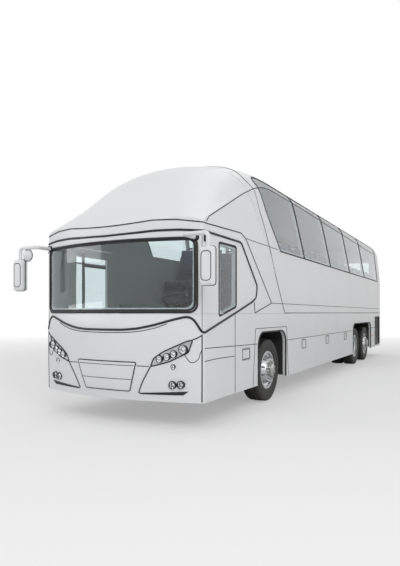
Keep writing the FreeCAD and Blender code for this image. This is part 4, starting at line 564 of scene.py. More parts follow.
SHELL = panel_skin("pressing_skin", [
    "front_dome", "side_wall_left", "side_wall_right", "roof", "tail", "front_fascia", "skirts", "windscreen",
    "window_glass", "front_door", "front_door_glass", "mid_door", "mid_door_glass", "engine_lid", "headlamps",
    "fog_lamps", "filler_flap"] + ["luggage_flap_%s_%d" % (name, number + 1)
                                   for name, fronts in FLAP_FRONTS.items() for number in range(len(fronts))])

# Front edge of the side glass, from the sill up, and the edge of the painted cover ahead of it
WINDOW_NOSE = [
    (2.715, 2.447), (2.637, 2.545), (2.517, 2.69), (2.416, 2.798), (2.32, 2.914), (2.208, 3.053),
    (2.122, 3.184), (2.037, 3.305), (1.975, 3.358), (1.915, 3.4), (1.885, 3.44), (1.88, 3.475), (1.905, 3.51),
    (1.96, 3.536), (2.06, 3.55), (2.2, PANE_TOP_Z)]
NOSE_COVER = [
    (2.58, 2.425), (2.43, 2.59), (2.076, 2.86), (1.77, 3.14), (1.6, 3.3), (1.59, 3.34), (1.65, 3.42),
    (1.76, 3.51), (1.9, 3.585), (2.2, 3.632)]

# Half outlines of the front, from the middle to the left corner
MASK_TOP = [(0, 2.402), (0.4, 2.412), (0.7, 2.428), (1, 2.428), (1.21, 2.412)]
MASK_LOW = [
    (0, 1.209), (0.3, 1.212), (0.485, 1.226), (0.698, 1.268), (0.914, 1.33), (1.081, 1.374), (1.146, 1.36),
    (1.192, 1.3), (1.262, 1.175)]
MASK_UNDER = [(0, 1.171), (0.394, 1.18), (0.572, 1.201), (0.74, 1.239), (0.87, 1.29)]
BROW = [(0, 2.564), (0.476, 2.563), (0.962, 2.554), (1.21, 2.52)]


def add_front_trim():
    """Windscreen edge, mask and brow beads, belt and corner seams, service panel, chin slits and wing lines."""
    add_plate("windscreen_header", ahead(rectangle(-1.2, 1.2, 2.325, 2.402)), 0.003, "+y", "body_paint",
              rounding=0.004, pitch=0.06)
    bead("windscreen_gasket", [ahead(rectangle(-1.202, 1.202, 1.428, 2.33))], 0.015, toward="+y", closed=True,
         rounding=0.09)
    add_plate("windscreen_frit", ahead(rectangle(-1.188, 1.188, 1.442, 2.32)), FRIT, "+y", rounding=0.09,
              band=0.024)
    mask = on_side([(0.934, 1.425), (1.495, 1.579), (1.648, 1.641), (1.687, 1.821), (1.1, 2.4), (0.05, 2.408)])
    mask += on_front(across(MASK_TOP)[::-1])
    mask += on_side([(0.05, 2.408), (0.36, 2.408), (0.36, 1.29), (0.05, 1.19)], -1)
    mask += on_front(across(MASK_LOW))
    bead("mask_bead", [mask], 0.015, closed=True, rounding=0.045)
    brow = on_side([(1.58, 1.575), (1.6, 1.418), (2.3, 1.575), (1.261, 2.478), (1.12, 2.535), (0.05, 2.51)])
    brow += on_front(across(BROW)[::-1])
    brow += on_side([(0.05, 2.51), (1.3, 2.535), (1.47, 2.47), (2.3, 1.575), (1.6, 1.418), (1.58, 1.575)], -1)
    bead("brow_bead", [brow], 0.008, rounding=0.03)
    seam("mask_under_bead", [ahead(across(MASK_UNDER))], toward="+y", rounding=0.04)
    belt = on_side([(2.9, BELT_Z), (0.05, BELT_Z)]) + on_front([(1.25, BELT_Z), (-1.25, BELT_Z)])
    belt += on_side([(0.05, BELT_Z), (0.382, BELT_Z)], -1)
    bead("belt_filler", [belt], 0.0048, finish="body_paint")
    for name, radius, z_low, z_high in (("corner_beads", 0.008, SILL_Z, 1.16),
                                        ("corner_post_seams", 0.004, 1.19, 2.42)):
        corners = [[(hand * 1.262, CORNER_Y - 0.01, z) for z in (z_low, z_high)] for hand in HANDS]
        seam(name, corners, radius)
    grille = ahead([(-0.468, 0.81), (0.468, 0.81), (0.353, 0.445), (-0.353, 0.445)])
    plate = fitted_plate("front_service_panel", grille, 0.006, "+y", 0.02, 0.06)
    bead("front_service_outline", [grille], 0.009, toward="+y", closed=True, rounding=0.02)
    folds = [ahead([(-half, z), (half, z)]) for half, z in ((0.39, 0.592), (0.44, 0.768))]
    seam("front_service_folds", folds, 0.004, toward="+y", skin=plate)
    finish_piece(plate, "body_paint")
    wings = []
    slits = []
    for name, hand in SIDES:
        wings.append(ahead([(0.64, 0.765), (0.48, 0.768)], hand))
        wings.append(ahead([(1.07, 0.915), (1.1, 0.865), (1.146, 0.822), (1.209, 0.852), (1.243, 0.942),
                            (1.262, 0.99)], hand))
        slit = ahead([(0.475, 0.43), (0.5, 0.415), (1.04, 0.423), (1.103, 0.471)], hand)
        slits.append(fitted_plate("chin_slit", slit, 0.005, "+y", 0.008, 0.06))
        chin = ahead([(0.66, 0.766), (0.6, 0.67), (0.53, 0.55), (0.475, 0.43)], hand)
        bead("chin_line_" + name, [chin], 0.008, toward="+y", curved=True)
    seam("wing_lines", wings, toward="+y", curved=True)
    finish_piece(join("chin_slits", slits), "gasket")


# Crease over the side glass, which runs on to the tail as the line of the pane tops
CREASE = (
    (0.09, 2.54), (0.17, 2.61), (0.355, 2.695), (0.729, 2.861), (1.146, 3.05), (1.35, 3.14), (1.488, 3.194),
    (1.526, 3.208), (1.56, 3.221), (1.67, 3.264), (1.766, 3.299), (1.87, 3.333), (1.979, 3.362),
    (2.115, 3.398), (2.295, 3.423), (2.536, 3.44), (2.925, 3.446), (4.15, 3.443), (6.19, 3.415), (8.5, 3.38),
    (10.9, 3.35), (12.13, 3.34))
WAIST_Z, WAIST_FALL, WAIST_START = 1.575, 0.002, 2.3


def add_side_trim():
    """Window band, crease, waist and skirt lines, arch lips, flap latches, cab window and dome seam."""
    for name, hand in SIDES:
        def lines(*runs):
            return [on_side(run, hand) for run in runs]
        way = INWARD[hand]
        cover = fitted_plate("window_nose_cover_" + name, beside(NOSE_COVER + WINDOW_NOSE[::-1], hand), 0.002,
                             way, pitch=0.045)
        rail = fitted_plate("roof_edge_cover_" + name, beside(rectangle(2.2, 12.17, PANE_TOP_Z, 3.632), hand),
                            0.003, way, pitch=2.5, rise=0.02)
        finish_piece(join("window_cover_" + name, [cover, rail]), "body_paint")
        band = WINDOW_NOSE + [(BAND_END, PANE_TOP_Z), (BAND_END, PANE_SILL_Z)]
        bead("window_band_gasket_" + name, [beside(band, hand)], 0.011, toward=way, closed=True)
        inner = [(back + 0.008, z) for back, z in WINDOW_NOSE] + [(12.135, 3.55), (12.135, 2.455)]
        add_plate("window_band_frit_" + name, beside(inner, hand), FRIT, way, band=0.016)
        bars = [[(PANE_START - lean + PANE_PITCH * number, z)
                 for lean, z in ((0, 2.45), (0.15, 2.85), (0.32, 3.25), (0.48, 3.55))] for number in range(4)]
        bead("pane_bars_" + name, [beside(bar, hand) for bar in bars], 0.013, toward=way, curved=True)
        seam("crease_bead_" + name, [beside(CREASE, hand)], 0.007, toward=way)
        closing = ((2.926, 1.425), (2.454, 2.083), (2.018, 2.671), (1.534, 3.219), (1.3, 3.44))
        bead("quarter_filler_" + name, [beside(closing, hand)], 0.0048, finish="body_paint", toward=way,
             curved=True)
        doorway = () if hand > 0 else (6.765, 7.815)
        breaks, seam_breaks = (WAIST_START, *doorway, 12.6), (2.95, *doorway, 12.6)
        runs = [[(back, WAIST_Z - WAIST_FALL * (back - WAIST_START)) for back in ends]
                for ends in zip(breaks[::2], breaks[1::2])]
        runs += [[(back, BELT_Z + 0.0105) for back in ends]
                 for ends in zip(seam_breaks[::2], seam_breaks[1::2])]
        runs.append(((1.261, 2.478), (2.6, 2.462)))
        seam("waist_lines_" + name, [beside(run, hand) for run in runs], toward=way, spacing=0.3)
        skirt = [((1.435, 0.96), (1.7, 0.955)), ((3.01, 0.95), (3.15, 0.95)), ((10.99, 0.95), (11.69, 0.95)),
                 ((1.534, SILL_Z), (1.629, 1.185), (3.03, 1.185), (3.12, SILL_Z))]
        if hand > 0:
            skirt += [((0.03, 0.992), (0.88, 0.972)), ((0.915, 0.97), (1.44, 0.96)),
                      ((0.03, 0.835), (0.367, 0.843), (0.875, 0.835)), ((0.9, SILL_Z), (0.9, 1.4))]
        else:
            skirt += [((0.03, 0.992), (0.375, 0.985)), ((0.03, 0.835), (0.375, 0.843)),
                      ((6.64, 0.95), (6.765, 0.95)), ((7.815, 0.95), (8.39, 0.95))]
        seam("skirt_lines_" + name, lines(*skirt))
        arches = [((start, SILL_Z), (start, top), (end, top), (end, SILL_Z))
                  for start, end, top in ((1.728, 2.992, 1.125), (8.412, 10.965, 1.13))]
        bead("arch_lips_" + name, lines(*arches), 0.013, rounding=0.22)
        bead("side_grille_edge_" + name, lines(rectangle(11.705, 12.545, 0.395, 1.295)), 0.008, closed=True,
             rounding=0.05)
        add_plate("side_marker_" + name, beside(rectangle(11.14, 11.25, 0.68, 0.75), hand), 0.006, way, "amber",
                  rounding=0.01)
        for number, start in enumerate(FLAP_FRONTS[name]):
            flap = "luggage_flap_%s_%d" % (name, number + 1)
            middle = start + FLAP_LENGTH / 2
            latch = rectangle(middle - 0.122, middle + 0.122, 0.753, 0.917)
            bead(flap + "_latch_rim", lines(latch), 0.007, flap, closed=True, rounding=0.012)
            fold = [(start + 0.012, SKIRT_LINE_Z), (start + FLAP_LENGTH - 0.012, SKIRT_LINE_Z)]
            seam(flap + "_skirt_line", lines(fold), body=flap, spacing=0.3)
    bead("cab_window_gasket", [on_side([(0.41, 1.372), (0.94, 1.497), (0.94, 2.325), (0.41, 2.325)])], 0.009,
         closed=True, rounding=0.04)
    add_plate("cab_window_frit", beside([(0.418, 1.382), (0.932, 1.503), (0.932, 2.317), (0.418, 2.317)]), FRIT,
              "-x", rounding=0.04, band=0.012)
    bead("filler_flap_rim", [on_side(rectangle(1.149, 1.406, 0.766, 0.904))], 0.007, "filler_flap", closed=True,
         rounding=0.012)
    dome = on_side([
        (2.926, 1.425), (2.454, 2.083), (2.32, 2.29), (2.197, 2.493), (2.122, 2.664), (2.028, 2.849),
        (1.93, 3.012), (1.859, 3.177), (1.8, 3.275)])
    dome += [(x, CORNER_Y + back, z) for x, back, z in (
        (1.16, 1.69, 3.34), (1.114, 1.58, 3.41), (1.033, 1.53, 3.5), (0.9, 1.5, 3.6), (0.6, 1.48, 3.7),
        (0, 1.48, 3.72))]
    mirrored = [(-x, y, z) for x, y, z in dome[-2::-1]]
    seam("dome_seam", [dome + mirrored], 0.0065, curved=True)


def add_door_trim():
    """Gaskets, seals, folds and handles that move with the doors."""
    for name, start in DOOR_FRONTS.items():
        glass = rectangle(start + 0.085, start + 0.915, 0.98, 2.335)
        bead(name + "_glass_gasket", [on_side(glass, -1)], 0.01, name, closed=True, rounding=0.05)
        inner = rectangle(start + 0.093, start + 0.907, 0.988, 2.327)
        add_plate(name + "_frit", beside(inner, -1), FRIT, "+x", body=name, rounding=0.05, band=0.02)
        leaf = rectangle(start + 0.01, start + 0.99, 0.362, 2.408)
        bead(name + "_edge_seal", [on_side(leaf, -1)], 0.006, name, closed=True, rounding=0.03)
        fold = [(start + 0.03, SKIRT_LINE_Z), (start + 0.97, SKIRT_LINE_Z)]
        seam(name + "_fold", [on_side(fold, -1)], body=name)
        back = start + (0.8 if name == "front_door" else 0.12)
        add_plate(name + "_handle_dish", beside(rectangle(back, back + 0.11, 0.82, 0.9), -1), 0.003, "+x",
                  body=name, rounding=0.02)
        grip = rounded_block(name + "_handle", (-BODY_SIDE - 0.014, CORNER_Y + back + 0.012, 0.85),
                             (-BODY_SIDE - 0.002, CORNER_Y + back + 0.098, 0.872), 0.005)
        finish_piece(grip, "steel", name)


def add_rear_trim():
    """Rear window edge, louvred lid, blank plate and lamp rims of the tail."""
    bead("rear_window_gasket", [behind(rectangle(-0.94, 0.94, 2.43, 3.18))], 0.013, toward="-y", closed=True,
         rounding=0.09)
    add_plate("rear_window_frit", behind(rectangle(-0.932, 0.932, 2.438, 3.172)), FRIT, "-y", rounding=0.09,
              band=0.03)
    louvres = [behind([(-0.62, z), (0.62, z)]) for z in (0.8 + 0.055 * number for number in range(11))]
    bead("lid_louvres", louvres, 0.01, "engine_lid", toward="-y", spacing=0.1)
    seam("lid_outline", [behind(rectangle(-0.905, 0.905, 0.645, 1.735))], body="engine_lid", toward="-y",
         closed=True, rounding=0.04)
    add_plate("lid_handle_dish", behind(rectangle(-0.13, 0.13, 0.675, 0.74)), 0.003, "-y", body="engine_lid",
              rounding=0.02, pitch=0.07)
    grip = rounded_block("lid_handle", (-0.1, TAIL_Y - 0.002, 0.698), (0.1, TAIL_Y + 0.012, 0.718), 0.005)
    finish_piece(grip, "steel", "engine_lid")
    blank = behind(rectangle(-0.26, 0.26, 0.43, 0.54))
    plate = fitted_plate("rear_blank_plate", blank, 0.004, "-y", 0.01, 0.09)
    bead("rear_plate_frame", [behind(rectangle(-0.258, 0.258, 0.432, 0.538))], 0.005, toward="-y", skin=plate,
         closed=True, rounding=0.01)
    finish_piece(plate, "plate")
    seam("bumper_line", [behind([(-1.18, 0.6), (1.18, 0.6)])], toward="-y")
    lamps = panel_skin("tail_lamp_skin", ["tail_lamps"])
    rims = []
    ribs = []
    for hand in HANDS:
        rims.append([rear(hand * x, z) for x, z in rectangle(0.997, 1.098, 0.877, 1.503)])
        ribs += [[rear(hand * 1.005, z), rear(hand * 1.09, z)] for z in (1.035, 1.19, 1.345)]
    bead("tail_lamp_rims", rims, 0.007, skin=lamps, closed=True, rounding=0.015)
    bead("tail_lamp_ribs", ribs, 0.004, skin=lamps)
    discard(lamps)
    marks = []
    for middle, half, z_low in ((-0.86, 0.06, 3.4), (0.86, 0.06, 3.4), (0, 0.2, 3.3)):
        outline = behind(rectangle(middle - half, middle + half, z_low, z_low + 0.05))
        marks.append(fitted_plate("high_mark", outline, 0.006, "-y", 0.012, 0.09))
    finish_piece(join("high_rear_lamps", marks), "tail_lamp")


# Lamps of the left front corner: place across, height, radius and how far the rim stands ahead
HEADLAMPS = ((0.78, 0.8615, 0.042, 0.017), (0.8696, 0.8897, 0.042, 0.017), (0.95, 0.9236, 0.042, 0.018),
             (1.0595, 0.98, 0.053, 0.024), (0.935, 0.768, 0.028, 0.012))
FOG_LAMPS = ((0.9206, 0.5457, 0.048, 0.02), (1.02, 0.5513, 0.048, 0.022))
HEADLAMP_OUTLINE = (
    (0.66, 0.766), (0.7, 0.863), (0.82, 0.948), (1.09, 1.076), (1.16, 1.094), (1.111, 0.943), (0.89, 0.828))
HEADLAMP_TAIL = ((1.158, 1.096), (1.21, 1.118), (1.258, 1.15))
LAMP_STEPS = 32


def face_ahead(x, z):
    """Foremost place of the panels at a place of the front view."""
    return SHELL.ray_cast((x, AHEAD_Y, z), (0, 1, 0))[1].y


def turned(name, section, steps, closed=True):
    """Ring or dome turned about the frame's X axis, from a section of (along, radius) points."""
    line = wire(name, [(along, 0, radius) for along, radius in section], closed=closed, spacing=WHOLE)
    open_all()
    bpy.ops.mesh.spin(steps=steps, angle=2 * math.pi, center=(0, 0, 0), axis=(1, 0, 0), use_auto_merge=True)
    bpy.ops.mesh.select_all(action="SELECT")
    bpy.ops.mesh.remove_doubles(threshold=0.0004)
    bpy.ops.mesh.normals_make_consistent(inside=False)
    leave_edit()
    return line


def copy_at(master, name, place, turn=0.0):
    """Copy of a master piece with a mesh of its own, moved to a place and turned about the vertical."""
    copy = master.copy()
    copy.data = master.data.copy()
    copy.name = name
    copy.location = place
    copy.rotation_euler = (0, 0, turn)
    bpy.context.scene.collection.objects.link(copy)
    return copy


def add_front_lamps():
    """Rims, bright cups and clear domes over the round lamps, and an upright bar on each fog lamp."""
    rims, cups, domes, bars = [], [], [], []
    for lamps in (HEADLAMPS, FOG_LAMPS):
        fog = lamps is FOG_LAMPS
        for x, z, radius, proud in lamps:
            inner = radius - (0.006 if fog else 0.003)
            edge = radius + (0.0012 if fog else 0.003)
            rim = turned("lamp_rim", (
                (-0.02, edge - 0.004), (-0.02, edge), (proud - 0.002, edge), (proud, edge - 0.002),
                (proud, inner), (proud - 0.004, inner - 0.001)), LAMP_STEPS)
            cup = turned("lamp_cup", (
                (0.0015, radius), (0.0015, 0.45 * radius), (0.006, 0.38 * radius), (0.009, 0.2 * radius),
                (0.01, 0)), LAMP_STEPS, closed=False)
            dome = turned("lamp_dome", (
                (proud - 0.006, 0), (proud - 0.006, radius - 0.002), (proud - 0.002, radius - 0.002),
                (proud + 0.003, 0.7 * radius), (proud + 0.005, 0.35 * radius), (proud + 0.0055, 0)),
                LAMP_STEPS, closed=False)
            for hand in HANDS:
                place = (hand * x, face_ahead(hand * x, z), z)
                for master, group in ((rim, rims), (cup, cups), (dome, domes)):
                    group.append(copy_at(master, "lamp_part", place, -math.pi / 2))
                if fog:
                    low = (place[0] - 0.003, place[1] - proud - 0.007, z - radius + 0.004)
                    high = (place[0] + 0.003, place[1] - proud + 0.004, z + radius - 0.004)
                    bars.append(rounded_block("fog_bar", low, high, 0.002))
            discard(rim, cup, dome)
    finish_piece(join("lamp_rims", rims), "gasket")
    finish_piece(join("lamp_cups", cups), "chrome")
    finish_piece(join("lamp_domes", domes), "lens")
    finish_piece(join("fog_lamp_bars", bars), "gasket")
    for name, hand in SIDES:
        bead("headlamp_gasket_" + name, [ahead(HEADLAMP_OUTLINE, hand)], 0.009, toward="+y", closed=True,
             rounding=0.02)
        bead("headlamp_tail_" + name, [ahead(HEADLAMP_TAIL, hand)], 0.008, toward="+y")


# Half section of a tyre: place along the axle from its middle, and radius
TYRE_HALF = [
    (0.016, 0.5), (0.018, 0.487), (0.027, 0.487), (0.03, 0.4995), (0.063, 0.4985), (0.066, 0.487),
    (0.075, 0.487), (0.078, 0.4975), (0.116, 0.4955), (0.128, 0.488), (0.137, 0.47), (0.1445, 0.438),
    (0.145, 0.4), (0.1435, 0.385), (0.1405, 0.384), (0.1385, 0.352), (0.1405, 0.35), (0.139, 0.334),
    (0.132, 0.316), (0.124, 0.303), (0.112, 0.302), (0.106, 0.288)]
TREAD_STEPS = 108


def tread_tyre():
    """Tyre with ribs, cross cuts and plain sidewalls, round the frame's origin."""
    section = TYRE_HALF + [(-along, radius) for along, radius in reversed(TYRE_HALF)]
    tyre = turned("tyre_master", section, TREAD_STEPS)
    for face in tyre.data.polygons:
        middle = face.center
        radius = math.hypot(middle.y, middle.z)
        turn = round(math.atan2(middle.z, middle.y) / (2 * math.pi) * TREAD_STEPS - 0.5)
        shoulder = 0.079 < abs(middle.x) < 0.135 and radius > 0.478
        rib = 0.031 < abs(middle.x) < 0.062 and radius > 0.49
        face.select = (shoulder and turn % 3 == 0) or (rib and turn % 3 == 1)
    bpy.ops.object.mode_set(mode="EDIT")
    bpy.ops.mesh.select_mode(type="FACE")
    bpy.ops.mesh.extrude_region_shrink_fatten(TRANSFORM_OT_shrink_fatten={"value": -0.007})
    leave_edit()
    return tyre


# Nut, washer and stud: sides, radius, length and place along the axle
NUT_PARTS = ((6, 0.0185, 0.024, 0.015), (20, 0.024, 0.005, 0.0025), (16, 0.0105, 0.042, 0.019))


def nut_ring(circle, count):
    """Ring of wheel nuts on washers round the frame's origin, facing along X."""
    deselect()
    parts = []
    for sides, radius, depth, along in NUT_PARTS:
        bpy.ops.mesh.primitive_cylinder_add(vertices=sides, radius=radius, depth=depth,
                                            rotation=(0, math.pi / 2, 0), location=(along, 0, circle))
        parts.append(bpy.context.object)
    edge_bevel(parts[0], 0.003)
    ring = [settle(join("nut_master", parts))]
    for number in range(1, count):
        nut = copy_at(ring[0], "nut_%d" % number, (0, 0, 0))
        nut.rotation_euler = (2 * math.pi * number / count, 0, 0)
        ring.append(nut)
    return settle(join("nut_ring_master", ring))


# Places along the axle of the faces that nuts and hub covers stand on, and of the tyres' middles
NUT_FACE = {"front": 1.226, "drive": 0.91, "tag": 1.226}
HUB_FACE = {"front": 1.271, "drive": 1.036, "tag": 1.271}
TYRE_PLACES = {"front": (1.06,), "drive": (1.06, 0.728), "tag": (1.06,)}


def add_wheels():
    """Treaded tyres in place of the plain ones, with wheel nuts and hub covers."""
    tyre = tread_tyre()
    nuts = nut_ring(0.1375, 10)
    cap = turned("cap_master", (
        (-0.012, 0.1005), (-0.012, 0.105), (0, 0.105), (0.004, 0.1), (0.004, 0.062), (0.009, 0.056),
        (0.012, 0.03), (0.013, 0)), 40, closed=False)
    for axle, y in HUB.items():
        for name, hand in SIDES:
            body = "%s_wheel_%s" % (axle, name)
            tyres = [copy_at(tyre, "tread", (hand * x, y, AXLE_Z)) for x in TYRE_PLACES[axle]]
            dressed = join("tread_%s_%s" % (axle, name), tyres)
            finish_piece(dressed, "tyre", body, smooth=32)
            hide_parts("tyre_%s_%s" % (axle, name))
            turn = 0 if hand > 0 else math.pi
            ring = copy_at(nuts, "nuts_%s_%s" % (axle, name), (hand * NUT_FACE[axle], y, AXLE_Z), turn)
            finish_piece(ring, "steel", body, "cast")
            cover = copy_at(cap, "hub_cover_%s_%s" % (axle, name), (hand * HUB_FACE[axle], y, AXLE_Z), turn)
            finish_piece(cover, "steel", body, "rim")
    discard(tyre, nuts, cap)


KERB_MIRROR_PLACE = (-1.375, -6.54, 2.228)


def add_mirrors():
    """Glasses, cover lines and arm roots of the mirrors, and a kerb mirror on the door side."""
    skin = panel_skin("mirror_skin", ["mirrors"])
    glasses, covers, roots, brackets, rims = [], [], [], [], []
    root = turned("root_master", (
        (-0.03, 0.0265), (-0.03, 0.046), (0.01, 0.046), (0.022, 0.036), (0.034, 0.032), (0.034, 0.0265)), 28)
    for hand in HANDS:
        middle = hand * MIRROR_X
        for low, high in ((1.775, 1.895), (1.915, 2.125)):
            outline = ahead(rectangle(middle - 0.068, middle + 0.068, low, high), y=-6.0)
            glasses.append(fitted_plate("mirror_glass", outline, 0.004, "-y", 0.03, skin=skin))
        covers.append(ahead(rectangle(middle - 0.062, middle + 0.062, 1.785, 2.115), y=-6.625))
        rims.append(ahead(rectangle(middle - 0.096, middle + 0.096, 1.729, 2.171), y=-6.565))
        foot = (hand * 1.18, face_ahead(hand * 1.18, 2.33), 2.33)
        roots.append(copy_at(root, "mirror_root", foot, -math.pi / 2))
    for hand in HANDS:
        for low, high, z_low, z_high in ((1.262, 1.284, 2.29, 2.385), (1.258, 1.3, 2.283, 2.296),
                                         (1.258, 1.3, 2.38, 2.393)):
            near, far = sorted((hand * low, hand * high))
            brackets.append(rounded_block("bracket", (near, CORNER_Y + 0.015, z_low),
                                          (far, CORNER_Y + 0.055, z_high), 0.003))
    finish_piece(join("mirror_corner_brackets", brackets), "gasket")
    bead("mirror_rims", rims, 0.007, skin=skin, closed=True, rounding=0.035)
    kerb = turned("kerb_mirror", (
        (-0.004, 0), (-0.004, 0.078), (0, 0.083), (0.022, 0.076), (0.046, 0.048), (0.058, 0.02), (0.06, 0)),
        36, closed=False)
    kerb_rim = turned("kerb_mirror_rim", ((-0.006, 0.08), (-0.006, 0.087), (0.003, 0.088), (0.005, 0.081)), 36)
    stalk = rounded_block("kerb_stalk", (-1.384, -6.575, 2.295), (-1.366, -6.553, 2.345), 0.005)
    for piece in (kerb, kerb_rim):
        piece.location = KERB_MIRROR_PLACE
        piece.rotation_euler = (0, 0, -math.pi / 2)
    finish_piece(kerb, "body_paint")
    finish_piece(join("kerb_mirror_mount", [kerb_rim, stalk]), "gasket")
    finish_piece(join("mirror_glasses", glasses), "chrome", slot="glass")
    bead("mirror_cover_lines", covers, 0.005, skin=skin, closed=True, rounding=0.045)
    finish_piece(join("mirror_arm_roots", roots), "gasket")
    discard(root, skin)


# Pads: swelling, mesh size, side bolsters, sewn channels, headrest and stuffing
PAD_CROWN, PAD_MESH = 0.02, 0.019
BOLSTER_RISE, BOLSTER_PLACE, BOLSTER_WIDTH, MIDDLE_DIP = 0.018, 0.8, 0.16, 0.006
CHANNEL_DEPTH, HEADREST_TAPER, HEADREST_RISE, HEADREST_BLEND = 0.011, 0.16, 0.012, 0.05
STUFFING_PRESSURE, STUFFING_FRAMES = 4, 20


def padded_form(name, low, high, channels, headrest=None):
    """Stuffed pad between two corners: swollen by cloth pressure, then shaped and sewn down.

    Its sitting face looks up, or forward on a backrest, which is taller than it is deep. Channels are
    (axis, place). Above the headrest's height the pad narrows and stands forward.
    """
    block = rounded_block(name, low, high, 0.026)
    remesh = block.modifiers.new("even", "REMESH")
    remesh.mode = "VOXEL"
    remesh.voxel_size = PAD_MESH
    apply_modifiers(block)
    rest = [vertex.co.copy() for vertex in block.data.vertices]
    seat = block.vertex_groups.new(name="held")
    seat.add([number for number, place in enumerate(rest) if place.z < low[2] + 0.01], 1.0, "REPLACE")
    cloth = block.modifiers.new("stuffing", "CLOTH")
    cloth.settings.use_pressure = True
    cloth.settings.uniform_pressure_force = STUFFING_PRESSURE
    cloth.settings.vertex_group_mass = "held"
    cloth.settings.effector_weights.gravity = 0
    for number in range(1, STUFFING_FRAMES + 1):
        bpy.context.scene.frame_set(number)
    apply_modifiers(block)
    bpy.context.scene.frame_set(1)
    longest = max((vertex.co - start).length for vertex, start in zip(block.data.vertices, rest))
    share = min(1, PAD_CROWN / longest) if longest else 0
    backrest = high[1] - low[1] < high[2] - low[2]
    depth = 1 if backrest else 2
    half = (high[0] - low[0]) / 2
    for vertex, start in zip(block.data.vertices, rest):
        vertex.co = start + (vertex.co - start) * share
        out = (high[1] - start.y) / (high[1] - low[1]) if backrest else (start.z - low[2]) / (high[2] - low[2])
        aside = abs(start.x) / half
        swell = BOLSTER_RISE * math.exp(-((aside - BOLSTER_PLACE) / BOLSTER_WIDTH) ** 2) - MIDDLE_DIP
        for axis, place in channels:
            swell -= CHANNEL_DEPTH * max(0, 1 - abs(start[axis] - place) / PAD_MESH)
        if headrest and start.z > headrest:
            rise = min(1, (start.z - headrest) / HEADREST_BLEND)
            vertex.co.x *= 1 - HEADREST_TAPER * rise
            swell = swell * (1 - rise) + HEADREST_RISE * rise
        vertex.co[depth] += -swell * out if backrest else swell * out
    block.data.update()
    smooth = block.modifiers.new("ease", "SMOOTH")
    smooth.factor = 0.4
    smooth.iterations = 1
    apply_modifiers(block)
    return block


# Seats: lean, size, rows, place in a pair, and the room kept free round the middle door's well
SEAT_LEAN = math.radians(12)
SEAT_DEPTH, SEAT_TOP, SEAT_HALF = 0.45, 0.47, 0.222
SEAT_ROWS, ROW_PITCH, PAIR_OFFSET = 11, 0.83, 0.235
WELL_AHEAD, WELL_BEHIND = 0.823, 0.11


def leaned(piece):
    """Leans a backrest back about the seat's rear edge."""
    pick(piece)
    bpy.ops.transform.rotate(value=SEAT_LEAN, orient_axis="X", center_override=(0, SEAT_DEPTH, 0.34))
    return settle(piece)


def seat_masters():
    """One seat's cushion, backrest and rear shell round the frame's origin, facing -Y."""
    half = SEAT_HALF
    cushion = padded_form("cushion_master", (-half, 0.012, 0.35), (half, SEAT_DEPTH - 0.012, SEAT_TOP - 0.012),
                          ((1, 0.15), (1, 0.29)))
    back = padded_form("back_master", (-half, SEAT_DEPTH + 0.01, 0.43), (half, SEAT_DEPTH + 0.08, 1.165),
                       ((2, 0.6), (2, 0.74), (2, 0.88), (2, 0.985)), headrest=0.985)
    leaned(back)
    rear_y = SEAT_DEPTH
    shell = rounded_block("shell_master", (-half, rear_y + 0.088, 0.36), (half, rear_y + 0.106, 1.14), 0.008)
    grip = rounded_block("grip_master", (-0.08, rear_y + 0.03, 1.17), (0.08, rear_y + 0.06, 1.205), 0.012)
    arm = rounded_block("arm_master", (half - 0.002, 0.12, 0.6), (half + 0.012, rear_y + 0.03, 0.635), 0.006)
    shell = leaned(join("shell_master", [shell, grip]))
    pan = rounded_block("seat_pan_master", (-half + 0.01, 0.03, 0.3), (half - 0.01, rear_y + 0.02, 0.347), 0.01)
    return cushion, back, join("shell_master", [shell, arm, pan])


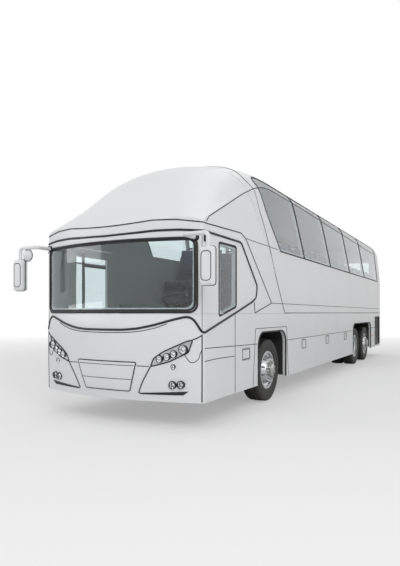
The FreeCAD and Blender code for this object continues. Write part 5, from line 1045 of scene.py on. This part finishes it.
def add_seats():
    """Pairs of seats beside the aisle in place of the plain ones, and the driver's."""
    cushion, back, shell = seat_masters()
    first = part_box("passenger_seats")[0].y
    middle_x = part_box("passenger_seats")[1].x - 2 * PAIR_OFFSET
    cushions, backs, shells, legs = [], [], [], []
    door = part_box("mid_door")
    for number in range(SEAT_ROWS):
        y = first + ROW_PITCH * number
        for hand in HANDS:
            if hand < 0 and door[0].y - WELL_AHEAD < y < door[1].y + WELL_BEHIND:
                continue
            for offset in (-PAIR_OFFSET, PAIR_OFFSET):
                place = (hand * middle_x + offset, y, FLOOR_Z)
                cushions.append(copy_at(cushion, "cushion", place))
                backs.append(copy_at(back, "back", place))
                shells.append(copy_at(shell, "shell", place))
            legs.append(rounded_block("leg", (hand * middle_x - 0.03, y + 0.11, FLOOR_Z),
                                      (hand * middle_x + 0.03, y + 0.44, FLOOR_Z + 0.31), 0.012))
    pads = finish_piece(join("seat_cushions", cushions), "upholstery")
    rests = finish_piece(join("seat_backs", backs), "upholstery")
    finish_piece(join("seat_shells", shells), "shell")
    finish_piece(join("seat_legs", legs), "steel", slot="chassis")
    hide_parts("passenger_seats")
    low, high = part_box("driver_seat")
    place = ((low.x + high.x) / 2, low.y, low.z)
    driver = [copy_at(cushion, "driver_cushion", place), copy_at(back, "driver_back", place)]
    pad = finish_piece(join("driver_pads", driver), "driver_cloth")
    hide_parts("driver_seat")
    base = rounded_block("driver_base", (place[0] - 0.16, place[1] + 0.08, place[2]),
                         (place[0] + 0.16, place[1] + 0.4, place[2] + 0.31), 0.03)
    finish_piece(join("driver_frame", [base, copy_at(shell, "driver_shell", place)]), "shell")
    discard(cushion, back, shell)


def add_roof_hatches():
    hatches = [rounded_block("roof_hatch", (-0.36, y - 0.32, 3.66), (0.36, y + 0.32, 3.728), 0.02)
               for y in (-2.4, 3.4)]
    finish_piece(join("roof_hatches", hatches), "body_paint")


add_front_trim()
add_side_trim()
add_door_trim()
add_rear_trim()
add_front_lamps()
add_wheels()
add_mirrors()
add_seats()
add_roof_hatches()
discard(SHELL)
add_camera()
add_stage()
add_surround()
add_softbox("key_softbox", (9, -14, 9), (0, -3, 1.5), (7, 7), 640)
add_softbox("fill_softbox", (-9, -12, 6), (0, -5, 1.5), (6, 6), 220)
add_softbox("top_softbox", (0, 1, 13), (0, 0, 0), (6, 14), 160)
bpy.context.scene.view_settings.view_transform = "Standard"
